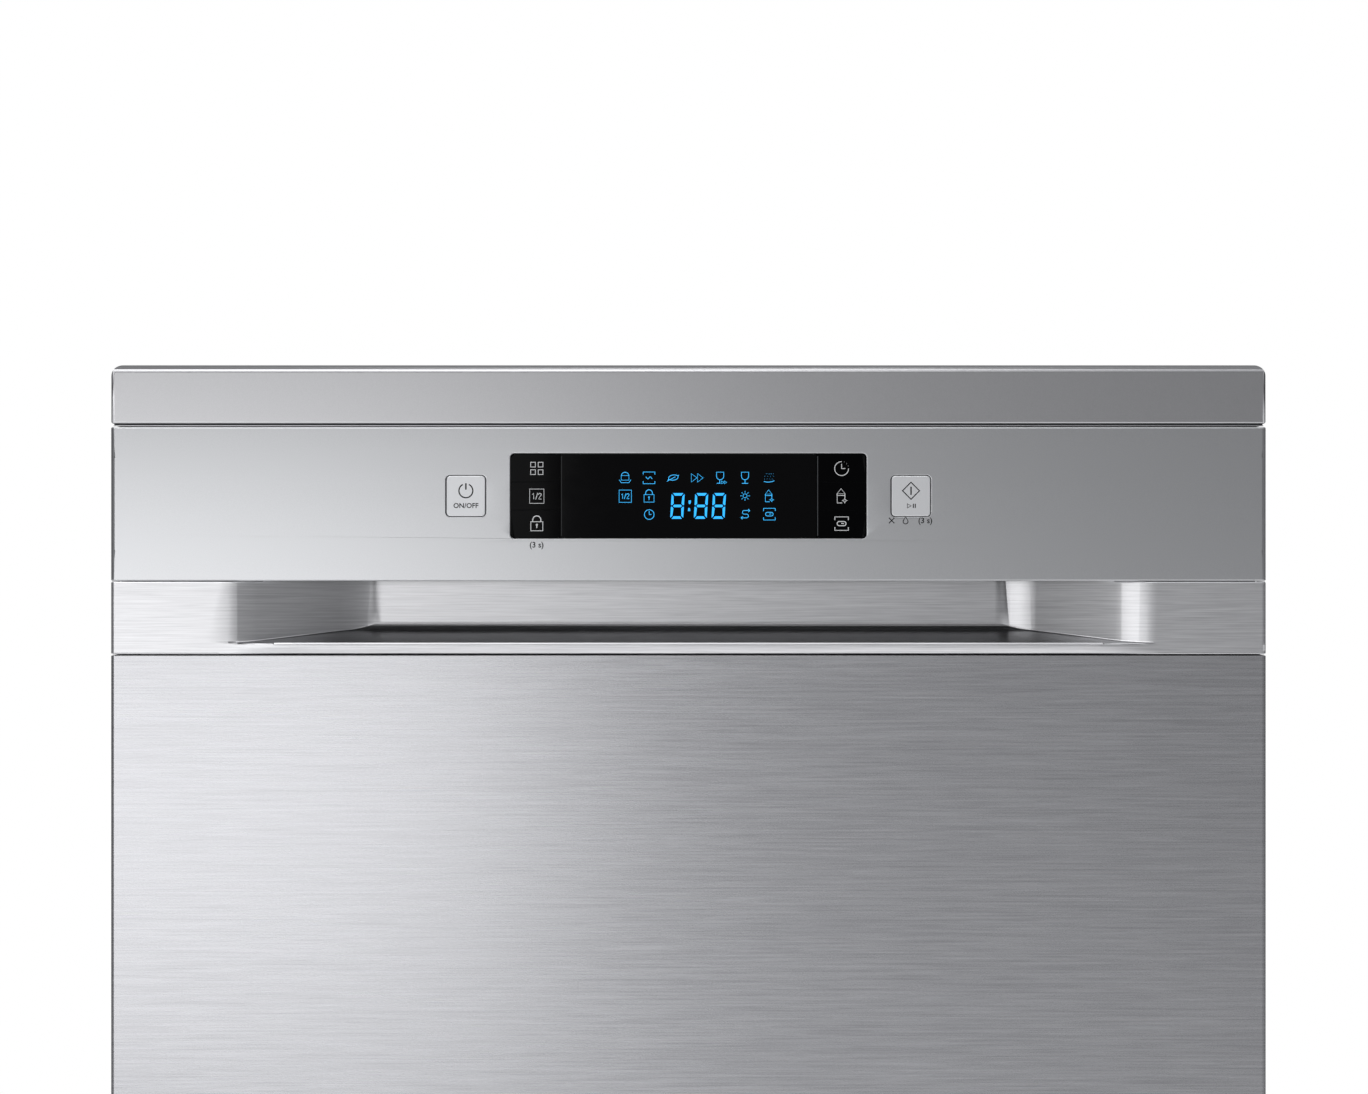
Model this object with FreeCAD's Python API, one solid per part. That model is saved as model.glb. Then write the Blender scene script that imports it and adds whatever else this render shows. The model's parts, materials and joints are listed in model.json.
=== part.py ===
"""Dishwasher, 60 cm wide, with a worktop, a drop-down door and three racks.

Millimetres. +X is to the right, -Y is the front, +Z is up.
The origin is on the floor, under the middle of the machine.
"""
import FreeCAD
import Part

import math
import os

from FreeCAD import Vector

# ---------------------------------------------------------------- overall
width = 598.0
depth = 600.0
height = 845.0
gap = 0.3                     # between parts that don't move past each other
run_gap = 0.5                 # between parts that do
sheet = 1.0                   # steel sheet

# ---------------------------------------------------------------- worktop
worktop_height = 30.5
worktop_setback = 1.0
worktop_corner = 6.0          # upper corners, seen from the front
worktop_low_corner = 1.6
worktop_brow = 4.0            # upper front edge
worktop_lower_brow = 1.2
worktop_upright = 1.8         # upright front edges
worktop_rear_upright = 3.0
worktop_rim = 16.0
board_thickness = 22.0
board_ledge = 7.0
board_fit = 0.2

# ---------------------------------------------------------------- door, from outside
reveal = 1.6                  # between the worktop and the door
fascia_height = 79.7
fascia_thickness = 2.4
band_height = 38.3            # the strip that holds the hand recess
seam = 0.6                    # between the door's front panels
door_bottom = 100.0
door_thickness = 52.0
door_corner_radius = 2.0      # outer upright edges
skin_return = 42.5            # how far the front panels wrap round the door's sides
recess_depth = 32.0
recess_side = 56.0            # from the door's side to where the recess leaves the front
recess_wall_run = 83.0        # from there to where it reaches the back wall
recess_wall_bend = 22.0       # how much of that run each of its two bends takes
recess_lip_rise = 6.3         # from the band's lower edge to the recess's lip
recess_floor_rise = 6.7       # the floor climbs this much from lip to back wall
recess_floor_radius = 5.0     # and turns up into the back wall
finger_height = 19.0          # room behind the fascia for the fingertips
fascia_lip = 3.6              # depth of the fascia's turned-in lower edge

# ---------------------------------------------------------------- controls
window_width = 183.8
window_height = 43.5
window_drop = 35.7            # from the fascia's top edge to the window's middle
window_corner = 2.2
key_width = 25.5
key_thickness = 2.2
key_travel = 0.8
key_gap = 0.15
button_width = 20.2
button_height = 21.0
button_offset = 115.2
button_proud = 0.6            # the two big buttons stand this far out of the fascia
button_travel = 1.5
button_thickness = 2.6
stem_radius = 2.4
switch_height = 3.0
carrier_depth = 3.9           # from the door's front face back to the carrier plate
board_depth = 12.0            # and to the circuit board
board_sheet = 1.6

# ---------------------------------------------------------------- door, from inside
liner_inset = 9.0
liner_corner = 14.0
liner_emboss = 1.6
wheel_track = 46.0            # plain strip each side of the embossed panel
dispenser_x = 30.0
dispenser_z = 402.0
dispenser_width = 214.0
dispenser_height = 146.0
dispenser_flange = 4.0
dispenser_depth = 26.0
chamber_width = 80.0
chamber_height = 56.0
lid_edge = 5.0                # how far the lid overlaps the chamber all round
lid_thickness = 1.8
lid_travel = 58.0
cap_radius = 19.5

# ---------------------------------------------------------------- hinges and latch
hinge_height = 118.0
hinge_offset = 37.0           # from the hinge axis back to the liner's face
bracket_inset = 23.0          # from the machine's side to the hinge bracket
bracket_thickness = 3.0
bracket_reach = 46.0
bracket_top = 108.0
hub_radius = 8.0
pin_radius = 4.0
arm_plate_top = 330.0
hook_width = 18.0
hook_thickness = 2.5
hook_reach = 16.0
latch_drop = 14.0             # from the fascia's top edge to the hook

# ---------------------------------------------------------------- tub
tub_side_gap = 19.0           # from the machine's side to the tub
tub_front_gap = 7.4           # from the door's liner to the tub's mouth
tub_rear_gap = 28.0           # from the machine's rear to the tub
tub_top_gap = 26.5            # from the worktop's underside to the tub's roof
tub_floor = 146.0
tub_wall = 1.0
ledge_height = 156.2
ledge_width = 42.0
ledge_slope = 8.0
tub_flange = 12.0
tub_flange_below = 12.0
tub_corner = 28.0
tub_rear_corner = 18.0
seal_width = 7.5
bead_heights = (250.0, 350.0, 450.0)
bead_radius = 8.0
bead_inset = 4.0
bead_front_gap = 70.0         # from the tub's mouth to the beads
bead_rear_gap = 57.0          # from the tub's rear wall to the beads

# ---------------------------------------------------------------- cabinet and base
side_inset = 0.5
side_flange = 11.0
side_foot = 7.0
cabinet_setback = 2.5         # from the tub's mouth back to the cabinet's front edge
cabinet_rear_gap = 15.0       # from the connectors' ends to the cabinet's rear edge
cabinet_bottom = 28.0
base_bottom = 22.0
base_floor = 30.0
base_wall = 3.0
base_top = 128.0
base_setback = 4.0            # from the tub's mouth back to the base
rib_pitch = 100.0
post_width = 22.0
post_inset = 22.0             # from the tub's side to the middle of a post
post_front_gap = 86.0
post_rear_gap = 95.0
crossbar_depth = 38.0
crossbar_wall = 1.5
kick_top = 96.0
kick_bottom = 12.0
kick_proud = 16.0             # from the base forward to the toe board
kick_inset = 14.0
kick_screw_inset = 99.0
kick_screw_radius = 2.0
screw_inset = 5.0
screw_head_radius = 4.2
screw_low = 60.0
bead_low = 180.0              # the rear panel's two pressed beads
bead_top_gap = 94.2           # from the cabinet's top to their upper ends
panel_bead_x = 150.0
panel_bead_half = 40.0
panel_bead_proud = 2.5
vent_count = 6                # slots in the rear panel
vent_low = 560.0
vent_pitch = 16.0
vent_half = 60.0
vent_height = 5.0
screw_top_gap = 24.2          # from the cabinet's top to the top row of screws
screw_count = 4
foot_side_gap = 44.0          # from the machine's side to a foot's middle
foot_front_gap = 31.0         # from the base's front to the front feet
foot_rear_gap = 35.0          # from the cabinet's rear to the rear feet
foot_pad_radius = 20.0
foot_pad_height = 9.0
foot_nut_radius = 9.8
foot_screw_radius = 5.0
foot_screw_top = 92.0
foot_boss_radius = 13.0
foot_boss_top = 62.0

# ---------------------------------------------------------------- water and power
sump_shift = 4.0              # behind the middle of the tub
sump_radius = 120.0
filter_radius = 34.0
filter_x = 48.0
filter_shift = 36.0           # from the sump's middle forward to the filter
filter_plate_thickness = 1.6
salt_side_gap = 115.0         # from the tub's side to the salt chamber
salt_rear_gap = 132.0         # from the tub's rear forward to the salt chamber's neck
salt_neck_radius = 34.0
pump_height = 88.0
pump_side_gap = 49.0          # from the machine's side to the motor's end
valve_side_gap = 94.0         # from the machine's side to the water inlet
drain_pitch = 55.0            # from the water inlet to the drain
mains_side_gap = 94.0
connector_z = 78.0
inlet_thread_radius = 13.2
valve_bore = 6.0
drain_spigot_radius = 10.5
drain_bore = 8.0
gland_radius = 9.0
gland_bore_radius = 4.2

# ---------------------------------------------------------------- spray arms
arm_height = 14.0
arm_sweep_gap = 15.7          # between an arm's tip and the duct on the rear wall
upper_arm_shorter = 30.0
arm_width = 46.0
arm_pin_radius = 7.5
lower_arm_bottom = 166.0
upper_arm_drop = 31.0         # from the upper rack's floor to the underside of its arm
ceiling_arm_length = 260.0
ceiling_arm_drop = 25.0       # from the tub's roof to the underside of its arm
jet_places = (0.35, 0.52, 0.69, 0.86, 1.0)
duct_width = 30.0
duct_depth = 15.0
duct_roof = 7.0
dock_radius = 14.0
dock_reach = 8.0
dock_drop = 14.0              # from the upper rack's floor down to the dock

# ---------------------------------------------------------------- racks
wire = 2.0                    # radius of the racks' wires
rim_wire = 3.0
weld = 0.8                    # how far crossing wires melt into each other
wire_bend = 12.0
rim_bend = 22.0
wire_inset = 26.0
wires_along = 12
wires_across = 13
rack_side_gap = 44.0          # from the tub's side to the lower rack
upper_side_gap = 48.0         # and to the upper rack
tray_side_gap = 34.0          # and to the cutlery tray
rack_front_gap = 18.0         # from the tub's mouth to the racks
rack_rear_gap = 36.0          # from the racks to the tub's rear
lower_floor = 192.0
lower_depth = 108.0
lower_rail_rise = 54.0
upper_drop = 283.0            # from the tub's roof to the upper rack's floor
upper_depth = 107.0
upper_rail_rise = 53.0
tray_drop = 76.0              # from the tub's roof to the cutlery tray's floor
tray_depth = 36.0
tray_wall = 2.5
tine_inset = 34.0
lower_tines = (-150.0, -60.0, 60.0, 150.0)
lower_tine_height = 62.0
lower_tine_pitch = 35.0
upper_tines = (-95.0, 95.0)
upper_tine_height = 44.0
upper_tine_pitch = 40.0
wheel_radius = 17.0
wheel_width = 9.0
wheel_lift = 0.5              # between a wheel at rest and its ledge
wheel_hub_gap = 0.45          # round the axle
wheel_setback = 78.0
axle_radius = 3.5
rail_depth = 20.7             # from the tub's wall to the rail's face
rail_height = 22.0
rail_drop = 26.0              # from the upper rack's rim to the bottom of its slides
slide_thickness = 11.5
tongue_inset = 6.0
tongue_height = 6.0
tray_rail_rise = 14.0
tray_tongue = 12.0

# ---------------------------------------------------------------- derived places
front = -depth / 2 + button_proud
rear = depth / 2
half = width / 2
worktop_bottom = height - worktop_height
worktop_front = front + worktop_setback
fascia_top = worktop_bottom - reveal
fascia_bottom = fascia_top - fascia_height
band_bottom = fascia_bottom - band_height
recess_lip = band_bottom + recess_lip_rise
recess_half_width = half - recess_side
recess_floor_half = recess_half_width - recess_wall_run
finger_top = fascia_bottom + finger_height
window_half = window_width / 2
window_centre = fascia_top - window_drop
window_bottom = window_centre - window_height / 2
window_top = window_centre + window_height / 2
module_half = window_half - key_width - 8
carrier_front = front + carrier_depth
board_y = front + board_depth
liner_face = front + door_thickness
liner_front = liner_face - sheet
liner_half = half - liner_inset
liner_top = fascia_top - fascia_thickness - 2.0
liner_bottom = door_bottom + sheet + run_gap
skin_back = front + skin_return
liner_flange_back = skin_back + gap + sheet
latch_z = fascia_top - latch_drop
hinge_y = liner_face - hinge_offset
bracket_x = half - bracket_inset
arm_x = bracket_x + bracket_thickness + run_gap
tub_half_width = half - tub_side_gap
tub_front = liner_face + tub_front_gap
tub_rear = rear - tub_rear_gap
tub_top = worktop_bottom - tub_top_gap
bead_front = tub_front + bead_front_gap
bead_rear = tub_rear - bead_rear_gap
cabinet_front = tub_front + cabinet_setback
cabinet_rear = rear - cabinet_rear_gap
side_outer = half - side_inset
cabinet_top = worktop_bottom - gap
panel_back = cabinet_rear + gap + sheet
base_front = tub_front + base_setback
post_x = tub_half_width - post_inset
post_rows = (base_front + post_front_gap, cabinet_rear - post_rear_gap)
kick_front = base_front - kick_proud
kick_screw_x = half - kick_screw_inset
screw_pitch = (cabinet_top - screw_top_gap - screw_low) / (screw_count - 1)
foot_x = half - foot_side_gap
foot_front_y = base_front + foot_front_gap
foot_rear_y = cabinet_rear - foot_rear_gap
sump_y = (tub_front + tub_rear) / 2 + sump_shift
filter_y = sump_y - filter_shift
salt_x = -tub_half_width + salt_side_gap
salt_y = tub_rear - salt_rear_gap
valve_x = -half + valve_side_gap
drain_x = valve_x + drain_pitch
mains_x = half - mains_side_gap
duct_face = tub_rear - tub_wall - gap - duct_depth
arm_length = 2 * (duct_face - sump_y - arm_sweep_gap)
rack_half_width = tub_half_width - rack_side_gap
upper_half_width = tub_half_width - upper_side_gap
tray_half_width = tub_half_width - tray_side_gap
rack_front = tub_front + rack_front_gap
rack_rear = tub_rear - rack_rear_gap
lower_rim = lower_floor + lower_depth
lower_rail = lower_floor + lower_rail_rise
upper_floor = tub_top - upper_drop
upper_rim = upper_floor + upper_depth
upper_rail = upper_floor + upper_rail_rise
upper_arm_bottom = upper_floor - upper_arm_drop
ceiling_arm_bottom = tub_top - ceiling_arm_drop
tray_floor = tub_top - tray_drop
tray_rim = tray_floor + tray_depth
wheel_z = ledge_height + wheel_lift + wheel_radius
wheel_inner = rack_half_width + 10.0
wheel_rows = (rack_front + wheel_setback, rack_rear - wheel_setback)
dock_z = upper_floor - dock_drop
rail_outer = tub_half_width - tub_wall - gap
rail_inner = rail_outer - rail_depth
slide_inner = rail_inner - run_gap - slide_thickness
rail_z = upper_rim - rail_drop
rail_y0 = rack_front + 6.0
rail_y1 = rack_rear + 12.0
tray_rail_z = tray_floor + tray_rail_rise

X_AXIS, Y_AXIS, Z_AXIS = Vector(1, 0, 0), Vector(0, 1, 0), Vector(0, 0, 1)


# ---------------------------------------------------------------- helpers
def box(x0, x1, y0, y1, z0, z1):
    return Part.makeBox(x1 - x0, y1 - y0, z1 - z0, Vector(x0, y0, z0))


def side_box(side, x0, x1, y0, y1, z0, z1):
    """A box on one side of the machine: side is -1 or 1, x0 and x1 are measured outwards."""
    a, b = sorted((side * x0, side * x1))
    return box(a, b, y0, y1, z0, z1)


def rod(radius, start, end):
    a, b = Vector(*start), Vector(*end)
    return Part.makeCylinder(radius, (b - a).Length, a, b - a)


def ring(outer, inner, start, end):
    return rod(outer, start, end).cut(rod(inner, start, end))


def mirrored(shape):
    return shape.mirror(Vector(0, 0, 0), Vector(1, 0, 0))


def joined(shapes):
    return shapes[0].multiFuse(shapes[1:]).removeSplitter()


def edges_along(shape, axis, where=lambda middle: True):
    """Straight edges that run along an axis, and whose middle passes a test."""
    found = []
    for edge in shape.Edges:
        if edge.Curve.TypeId != "Part::GeomLine":
            continue
        run = edge.Vertexes[1].Point - edge.Vertexes[0].Point
        if abs(abs(run.dot(axis)) - run.Length) < 1e-6 and where(edge.CenterOfMass):
            found.append(edge)
    return found


def edges_at_y(shape, y):
    """Edges that lie in the plane at y."""
    return [e for e in shape.Edges if e.BoundBox.YLength < 0.01 and abs(e.CenterOfMass.y - y) < 0.01]


def edges_at_z(shape, z):
    return [e for e in shape.Edges if e.BoundBox.ZLength < 0.01 and abs(e.CenterOfMass.z - z) < 0.01]


def end_edges(shape):
    """Rims of a round bar that lies along X."""
    return [e for e in shape.Edges if e.BoundBox.XLength < 0.01]


def slab_xz(x0, x1, z0, z1, radius, y0, y1):
    """A plate that faces the front, with rounded corners."""
    plate = box(x0, x1, y0, y1, z0, z1)
    return plate.makeFillet(radius, edges_along(plate, Y_AXIS)) if radius else plate


def slab_xy(x0, x1, y0, y1, radius, z0, z1):
    plate = box(x0, x1, y0, y1, z0, z1)
    return plate.makeFillet(radius, edges_along(plate, Z_AXIS)) if radius else plate


def outline_xy(points, z0, z1):
    corners = [Vector(x, y, z0) for x, y in points]
    return Part.Face(Part.makePolygon(corners + corners[:1])).extrude(Vector(0, 0, z1 - z0))


def outline_yz(points, x0, x1):
    corners = [Vector(x0, y, z) for y, z in points]
    return Part.Face(Part.makePolygon(corners + corners[:1])).extrude(Vector(x1 - x0, 0, 0))


def door_skin(z0, z1, thickness, top_return, bottom_return):
    """A front panel of the door: a face whose upright edges wrap round the sides."""
    outer = box(-half, half, front, skin_back, z0, z1)
    outer = outer.makeFillet(door_corner_radius, edges_along(outer, Z_AXIS, lambda p: p.y < front + 1))
    x, y = half - thickness, front + thickness
    low = z0 + thickness if bottom_return else z0 - 1
    high = z1 - thickness if top_return else z1 + 1
    inner = box(-x, x, y, skin_back + 1, low, high)
    inner_radius = max(door_corner_radius - thickness, 0.5)
    inner = inner.makeFillet(inner_radius, edges_along(inner, Z_AXIS, lambda p: p.y < y + 1))
    return outer.cut(inner)


def bent_wire(points, radius, bend, closed=False):
    """A round wire along straight runs, with one bend radius at every corner."""
    points = [Vector(*p) for p in points]
    count = len(points)

    def corner(before, at, after):
        back, on = (before - at).normalize(), (after - at).normalize()
        angle = back.getAngle(on)
        reach = bend / math.tan(angle / 2)
        middle = at + (back + on).normalize() * (bend / math.sin(angle / 2) - bend)
        return at + back * reach, middle, at + on * reach

    inner = range(count) if closed else range(1, count - 1)
    corners = [corner(points[i - 1], points[i], points[(i + 1) % count]) for i in inner]
    edges = [Part.Arc(*c).toShape() for c in corners]
    if closed:
        runs = [(corners[i - 1][2], corners[i][0]) for i in range(count)]
    else:
        starts = [points[0]] + [c[2] for c in corners]
        ends = [c[0] for c in corners] + [points[-1]]
        runs = list(zip(starts, ends))
    edges += [Part.LineSegment(a, b).toShape() for a, b in runs]
    path = Part.Wire(Part.__sortEdges__(edges))
    start, heading = runs[0][0], runs[0][1] - runs[0][0]
    if not closed:
        start = points[0]
    profile = Part.Wire(Part.makeCircle(radius, start, heading))
    return path.makePipeShell([profile], True, True)


def save(name, *shapes):
    """One STEP file for one node; a node may be a group of separate solids."""
    solids = [solid for shape in shapes for solid in shape.Solids]
    whole = solids[0] if len(solids) == 1 else Part.makeCompound(solids)
    whole.exportStep(os.path.join("parts", name + ".step"))
    state = "valid" if all(solid.isValid() for solid in solids) else "NOT VALID"
    print(f"{name}: {len(solids)} solids, {len(whole.Faces)} faces, {state}")


# ---------------------------------------------------------------- worktop
def rounded(axis, radii):
    """The worktop's block, with its edges along one axis rounded: pairs of a test and a radius."""
    block = box(-half, half, worktop_front, rear, worktop_bottom, height)
    for where, radius in radii:
        block = block.makeFillet(radius, edges_along(block, axis, where))
    return block


def worktop():
    middle = (worktop_bottom + height) / 2
    outer = rounded(Y_AXIS, (
        (lambda p: p.z > middle, worktop_corner), (lambda p: p.z < middle, worktop_low_corner)))
    outer = outer.common(rounded(X_AXIS, (
        (lambda p: p.z > middle, worktop_brow), (lambda p: p.z < middle, worktop_lower_brow))))
    outer = outer.common(rounded(Z_AXIS, (
        (lambda p: p.y < 0, worktop_upright), (lambda p: p.y > 0, worktop_rear_upright))))
    x, y0, y1 = half - worktop_rim, worktop_front + worktop_rim, rear - worktop_rim
    board_bottom = height - board_thickness
    pocket = box(-x, x, y0, y1, board_bottom, height + 1)
    ledge = board_ledge
    through = box(-x + ledge, x - ledge, y0 + ledge, y1 - ledge, worktop_bottom - 1, height)
    save("worktop_trim", outer.cut(pocket).cut(through))
    x, y0, y1 = x - board_fit, y0 + board_fit, y1 - board_fit
    board = box(-x, x, y0, y1, board_bottom, height - 0.4)
    save("worktop_board", board.makeFillet(0.8, edges_at_z(board, height - 0.4)))


# ---------------------------------------------------------------- cabinet
def side_panels():
    x1, y0, y1 = side_outer, cabinet_front, cabinet_rear
    x0 = x1 - side_flange
    panel = joined([
        box(x1 - sheet, x1, y0, y1, cabinet_bottom, cabinet_top),
        box(x0, x1, y0, y0 + sheet, base_top + 12, cabinet_top),
        box(x0, x1, y1 - sheet, y1, cabinet_bottom, cabinet_top),
        box(x0, x1, y0, y1, cabinet_top - sheet, cabinet_top),
        box(x1 - side_foot + 2, x1, y0, y1, cabinet_bottom, cabinet_bottom + sheet),
    ])
    save("side_panel_right", panel)
    save("side_panel_left", mirrored(panel))


def connectors():
    """Place across the machine, and radius, of what passes through the rear panel."""
    return (
        (valve_x, inlet_thread_radius + 3),
        (drain_x, drain_spigot_radius + 3),
        (mains_x, gland_radius),
    )


def slotted_screw(x, z):
    """One of the screws that hold the rear panel; its head faces the rear."""
    start = cabinet_rear + gap / 2
    head = rod(screw_head_radius, (x, panel_back, z), (x, panel_back + 2.4, z))
    slot = box(x - 3.0, x + 3.0, panel_back + 1.4, panel_back + 3, z - 0.5, z + 0.5)
    return head.fuse(rod(1.9, (x, start, z), (x, panel_back + 1, z))).cut(slot)


def rear_panel():
    y0, y1 = cabinet_rear + gap, panel_back
    panel = box(-side_outer, side_outer, y0, y1, cabinet_bottom, cabinet_top)
    for x, r in connectors():
        panel = panel.cut(rod(r + run_gap, (x, y0 - 1, connector_z), (x, y1 + 1, connector_z)))
    for row in range(vent_count):
        z = vent_low + row * vent_pitch
        panel = panel.cut(slab_xz(-vent_half, vent_half, z, z + vent_height, 2.4, y0 - 1, y1 + 1))
    for x in (-panel_bead_x, panel_bead_x):
        x0, x1 = x - panel_bead_half, x + panel_bead_half
        bead_top = cabinet_top - bead_top_gap
        panel = panel.fuse(slab_xz(x0, x1, bead_low, bead_top, 12, y1 - 0.2, y1 + panel_bead_proud))
    screws = []
    for x in (-side_outer + screw_inset, side_outer - screw_inset):
        for row in range(screw_count):
            z = screw_low + row * screw_pitch
            panel = panel.cut(rod(2.2, (x, y0 - 1, z), (x, y1 + 1, z)))
            screws.append(slotted_screw(x, z))
    save("rear_panel", panel)
    return screws


def crossed_screw(x, z):
    """One of the two screws that hold the toe board; its head faces the front."""
    head = rod(4.6, (x, kick_front - 2.2, z), (x, kick_front, z))
    cross = joined([
        box(x - 2.4, x + 2.4, kick_front - 3, kick_front - 1, z - 0.5, z + 0.5),
        box(x - 0.5, x + 0.5, kick_front - 3, kick_front - 1, z - 2.4, z + 2.4),
    ])
    shank = rod(kick_screw_radius, (x, kick_front - 0.5, z), (x, base_front + base_wall, z))
    return head.fuse(shank).cut(cross)


def kick_plate():
    """Toe board across the front, with folded edges, held by two screws."""
    x = side_outer - kick_inset
    y, z0, z1 = kick_front, kick_bottom, kick_top
    plate = joined([
        slab_xz(-x, x, z0, z1, 3, y, y + sheet),
        box(-x + 3, x - 3, y, base_front - gap, z1 - sheet, z1),
        box(-x + 3, x - 3, y, y + 10, z0, z0 + sheet),
    ])
    screws = []
    for cx in (-kick_screw_x, kick_screw_x):
        cz = (z0 + z1) / 2
        plate = plate.cut(rod(kick_screw_radius + gap, (cx, y - 1, cz), (cx, y + 3, cz)))
        screws.append(crossed_screw(cx, cz))
    save("kick_plate", plate)
    return screws


def base_tray():
    """Moulded tray that the cabinet, tub, pumps and feet are fixed to."""
    x = side_outer - sheet - gap
    y0, y1 = base_front, cabinet_rear - sheet - gap
    floor_top = base_floor + base_wall
    tray = slab_xy(-x, x, y0, y1, 6, base_floor, base_top).cut(
        slab_xy(-x + base_wall, x - base_wall, y0 + base_wall, y1 - base_wall, 4, floor_top, base_top + 1))
    # the cabinet's folded lower edges stand in this rebate
    for side in (-1, 1):
        a, b = sorted((side * (side_outer + 1), side * (side_outer - side_foot)))
        tray = tray.cut(box(a, b, y0 - 1, y1 + 1, base_bottom, cabinet_bottom + sheet + gap))
    extra = [
        rod(foot_boss_radius, (cx, cy, base_bottom), (cx, cy, foot_boss_top)) for cx, cy in foot_places()]
    for cx in (-rib_pitch, 0.0, rib_pitch):
        extra.append(box(cx - 1.5, cx + 1.5, y1 - 60, y1 - 1, floor_top - 1, base_top))
    # posts under the tub's ledges
    w = post_width / 2
    for cx in (-post_x, post_x):
        for cy in post_rows:
            extra.append(box(cx - w, cx + w, cy - w, cy + w, floor_top - 1, ledge_height - tub_wall - gap))
    # blocks in the front corners that carry the hinge brackets
    for side in (-1, 1):
        a, b = sorted((side * (bracket_x - 14), side * (bracket_x - gap)))
        extra.append(box(a, b, y0 + base_wall - 1, y0 + bracket_reach, floor_top - 1, bracket_top))
    tray = joined([tray] + extra)
    for cx, cy in foot_places():
        hole = foot_screw_radius + gap
        tray = tray.cut(rod(hole, (cx, cy, base_bottom - 1), (cx, cy, foot_boss_top + 1)))
    for bx, r in connectors():
        tray = tray.cut(rod(r + run_gap, (bx, y1 - 8, connector_z), (bx, y1 + 4, connector_z)))
    for cx in (-kick_screw_x, kick_screw_x):
        cz = (kick_bottom + kick_top) / 2
        tray = tray.cut(rod(kick_screw_radius + gap, (cx, y0 - 1, cz), (cx, y0 + base_wall + 1, cz)))
    for side in (-1, 1):
        a, b = sorted((side * (bracket_x - gap), side * (bracket_x + bracket_thickness + gap)))
        tray = tray.cut(box(a, b, y0 - 1, y0 + base_wall + 1, kick_top, base_top + 1))
    save("base_tray", tray.removeSplitter())


def foot_places():
    return [(x, y) for y in (foot_front_y, foot_rear_y) for x in (-foot_x, foot_x)]


def feet():
    names = ("front_foot_left", "front_foot_right", "rear_foot_left", "rear_foot_right")
    for name, (cx, cy) in zip(names, foot_places()):
        pad = rod(foot_pad_radius, (cx, cy, 0), (cx, cy, foot_pad_height))
        top = [e for e in pad.Edges if e.CenterOfMass.z > foot_pad_height - 0.1 and e.BoundBox.ZLength < 0.1]
        pad = pad.makeFillet(2.5, top)
        corners = [math.radians(60 * k) for k in range(6)]
        nut = outline_xy([
            (cx + foot_nut_radius * math.cos(a), cy + foot_nut_radius * math.sin(a)) for a in corners
        ], foot_pad_height, base_bottom - gap)
        screw = rod(foot_screw_radius, (cx, cy, foot_pad_height), (cx, cy, foot_screw_top))
        save(name, joined([pad, nut, screw]))


# ---------------------------------------------------------------- door hinges
def hinge_bracket():
    """Fixed to the base: a plate with a tongue that carries the hinge pin."""
    x0, x1 = bracket_x, bracket_x + bracket_thickness
    top, low = hinge_height - 1.0, hinge_height - hub_radius - 1.5
    y_back, y_in = base_front + bracket_reach, base_front + base_wall + gap
    plate = outline_yz([
        (y_in, base_floor + base_wall + gap), (y_back, base_floor + base_wall + gap),
        (y_back, bracket_top), (base_front + 20, top), (hinge_y, top),
        (hinge_y, hinge_height - hub_radius), (hinge_y + 12, low), (base_front - 6, low),
        (base_front - 6, kick_top + 3.0), (y_in, kick_top + 3.0),
    ], x0, x1)
    head = arm_x + bracket_thickness + run_gap
    return joined([
        plate,
        rod(hub_radius, (x0, hinge_y, hinge_height), (x1, hinge_y, hinge_height)),
        rod(pin_radius, (x0, hinge_y, hinge_height), (head + 2, hinge_y, hinge_height)),
        rod(pin_radius + 2, (head, hinge_y, hinge_height), (head + 2, hinge_y, hinge_height)),
    ])


def hinge_arm():
    """Fixed in the door: an angle that turns on the bracket's pin."""
    x0, x1 = arm_x, arm_x + bracket_thickness
    back = liner_front - gap
    web = outline_yz([
        (hinge_y, hinge_height), (hinge_y, arm_plate_top - 30), (hinge_y + 14, arm_plate_top),
        (back, arm_plate_top), (back, hinge_height + 14), (hinge_y + 8, hinge_height),
    ], x0, x1)
    arm = joined([
        web,
        rod(hub_radius, (x0, hinge_y, hinge_height), (x1, hinge_y, hinge_height)),
        box(x0 - 16, x1, back - 2.5, back, hinge_height + 22, arm_plate_top),
    ])
    bore = rod(pin_radius + gap, (x0 - 1, hinge_y, hinge_height), (x1 + 1, hinge_y, hinge_height))
    return arm.cut(bore)


# ---------------------------------------------------------------- tub
def tub_section(grow):
    """The tub seen from the front: a flat ledge each side of a sunken floor, and a rounded roof."""
    x = tub_half_width - tub_wall + grow
    top = tub_top - tub_wall + grow
    ledge, floor = ledge_height - grow, tub_floor - grow
    ledge_in = tub_half_width - ledge_width + grow * 0.4
    floor_in = ledge_in - ledge_slope
    r = tub_corner + grow
    d = r * (1 - math.sqrt(0.5))
    right = [(floor_in, floor), (ledge_in, ledge), (x, ledge), (x, top - r)]
    left = [(-px, pz) for px, pz in reversed(right)]
    corners = [Vector(px, 0, pz) for px, pz in left + right]
    edges = [Part.LineSegment(a, b) for a, b in zip(corners, corners[1:])]
    edges += [
        Part.Arc(Vector(x, 0, top - r), Vector(x - d, 0, top - d), Vector(x - r, 0, top)),
        Part.LineSegment(Vector(x - r, 0, top), Vector(-x + r, 0, top)),
        Part.Arc(Vector(-x + r, 0, top), Vector(-x + d, 0, top - d), Vector(-x, 0, top - r)),
    ]
    return Part.Face(Part.Wire([e.toShape() for e in edges]))


def tub_solid(grow, y0, y1):
    section = tub_section(grow)
    section.translate(Vector(0, y0, 0))
    body = section.extrude(Vector(0, y1 - y0, 0))
    back_edges = [e for e in edges_at_y(body, y1) if e.CenterOfMass.z > ledge_height + 5]
    return body.makeFillet(tub_rear_corner + grow, back_edges)


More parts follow.
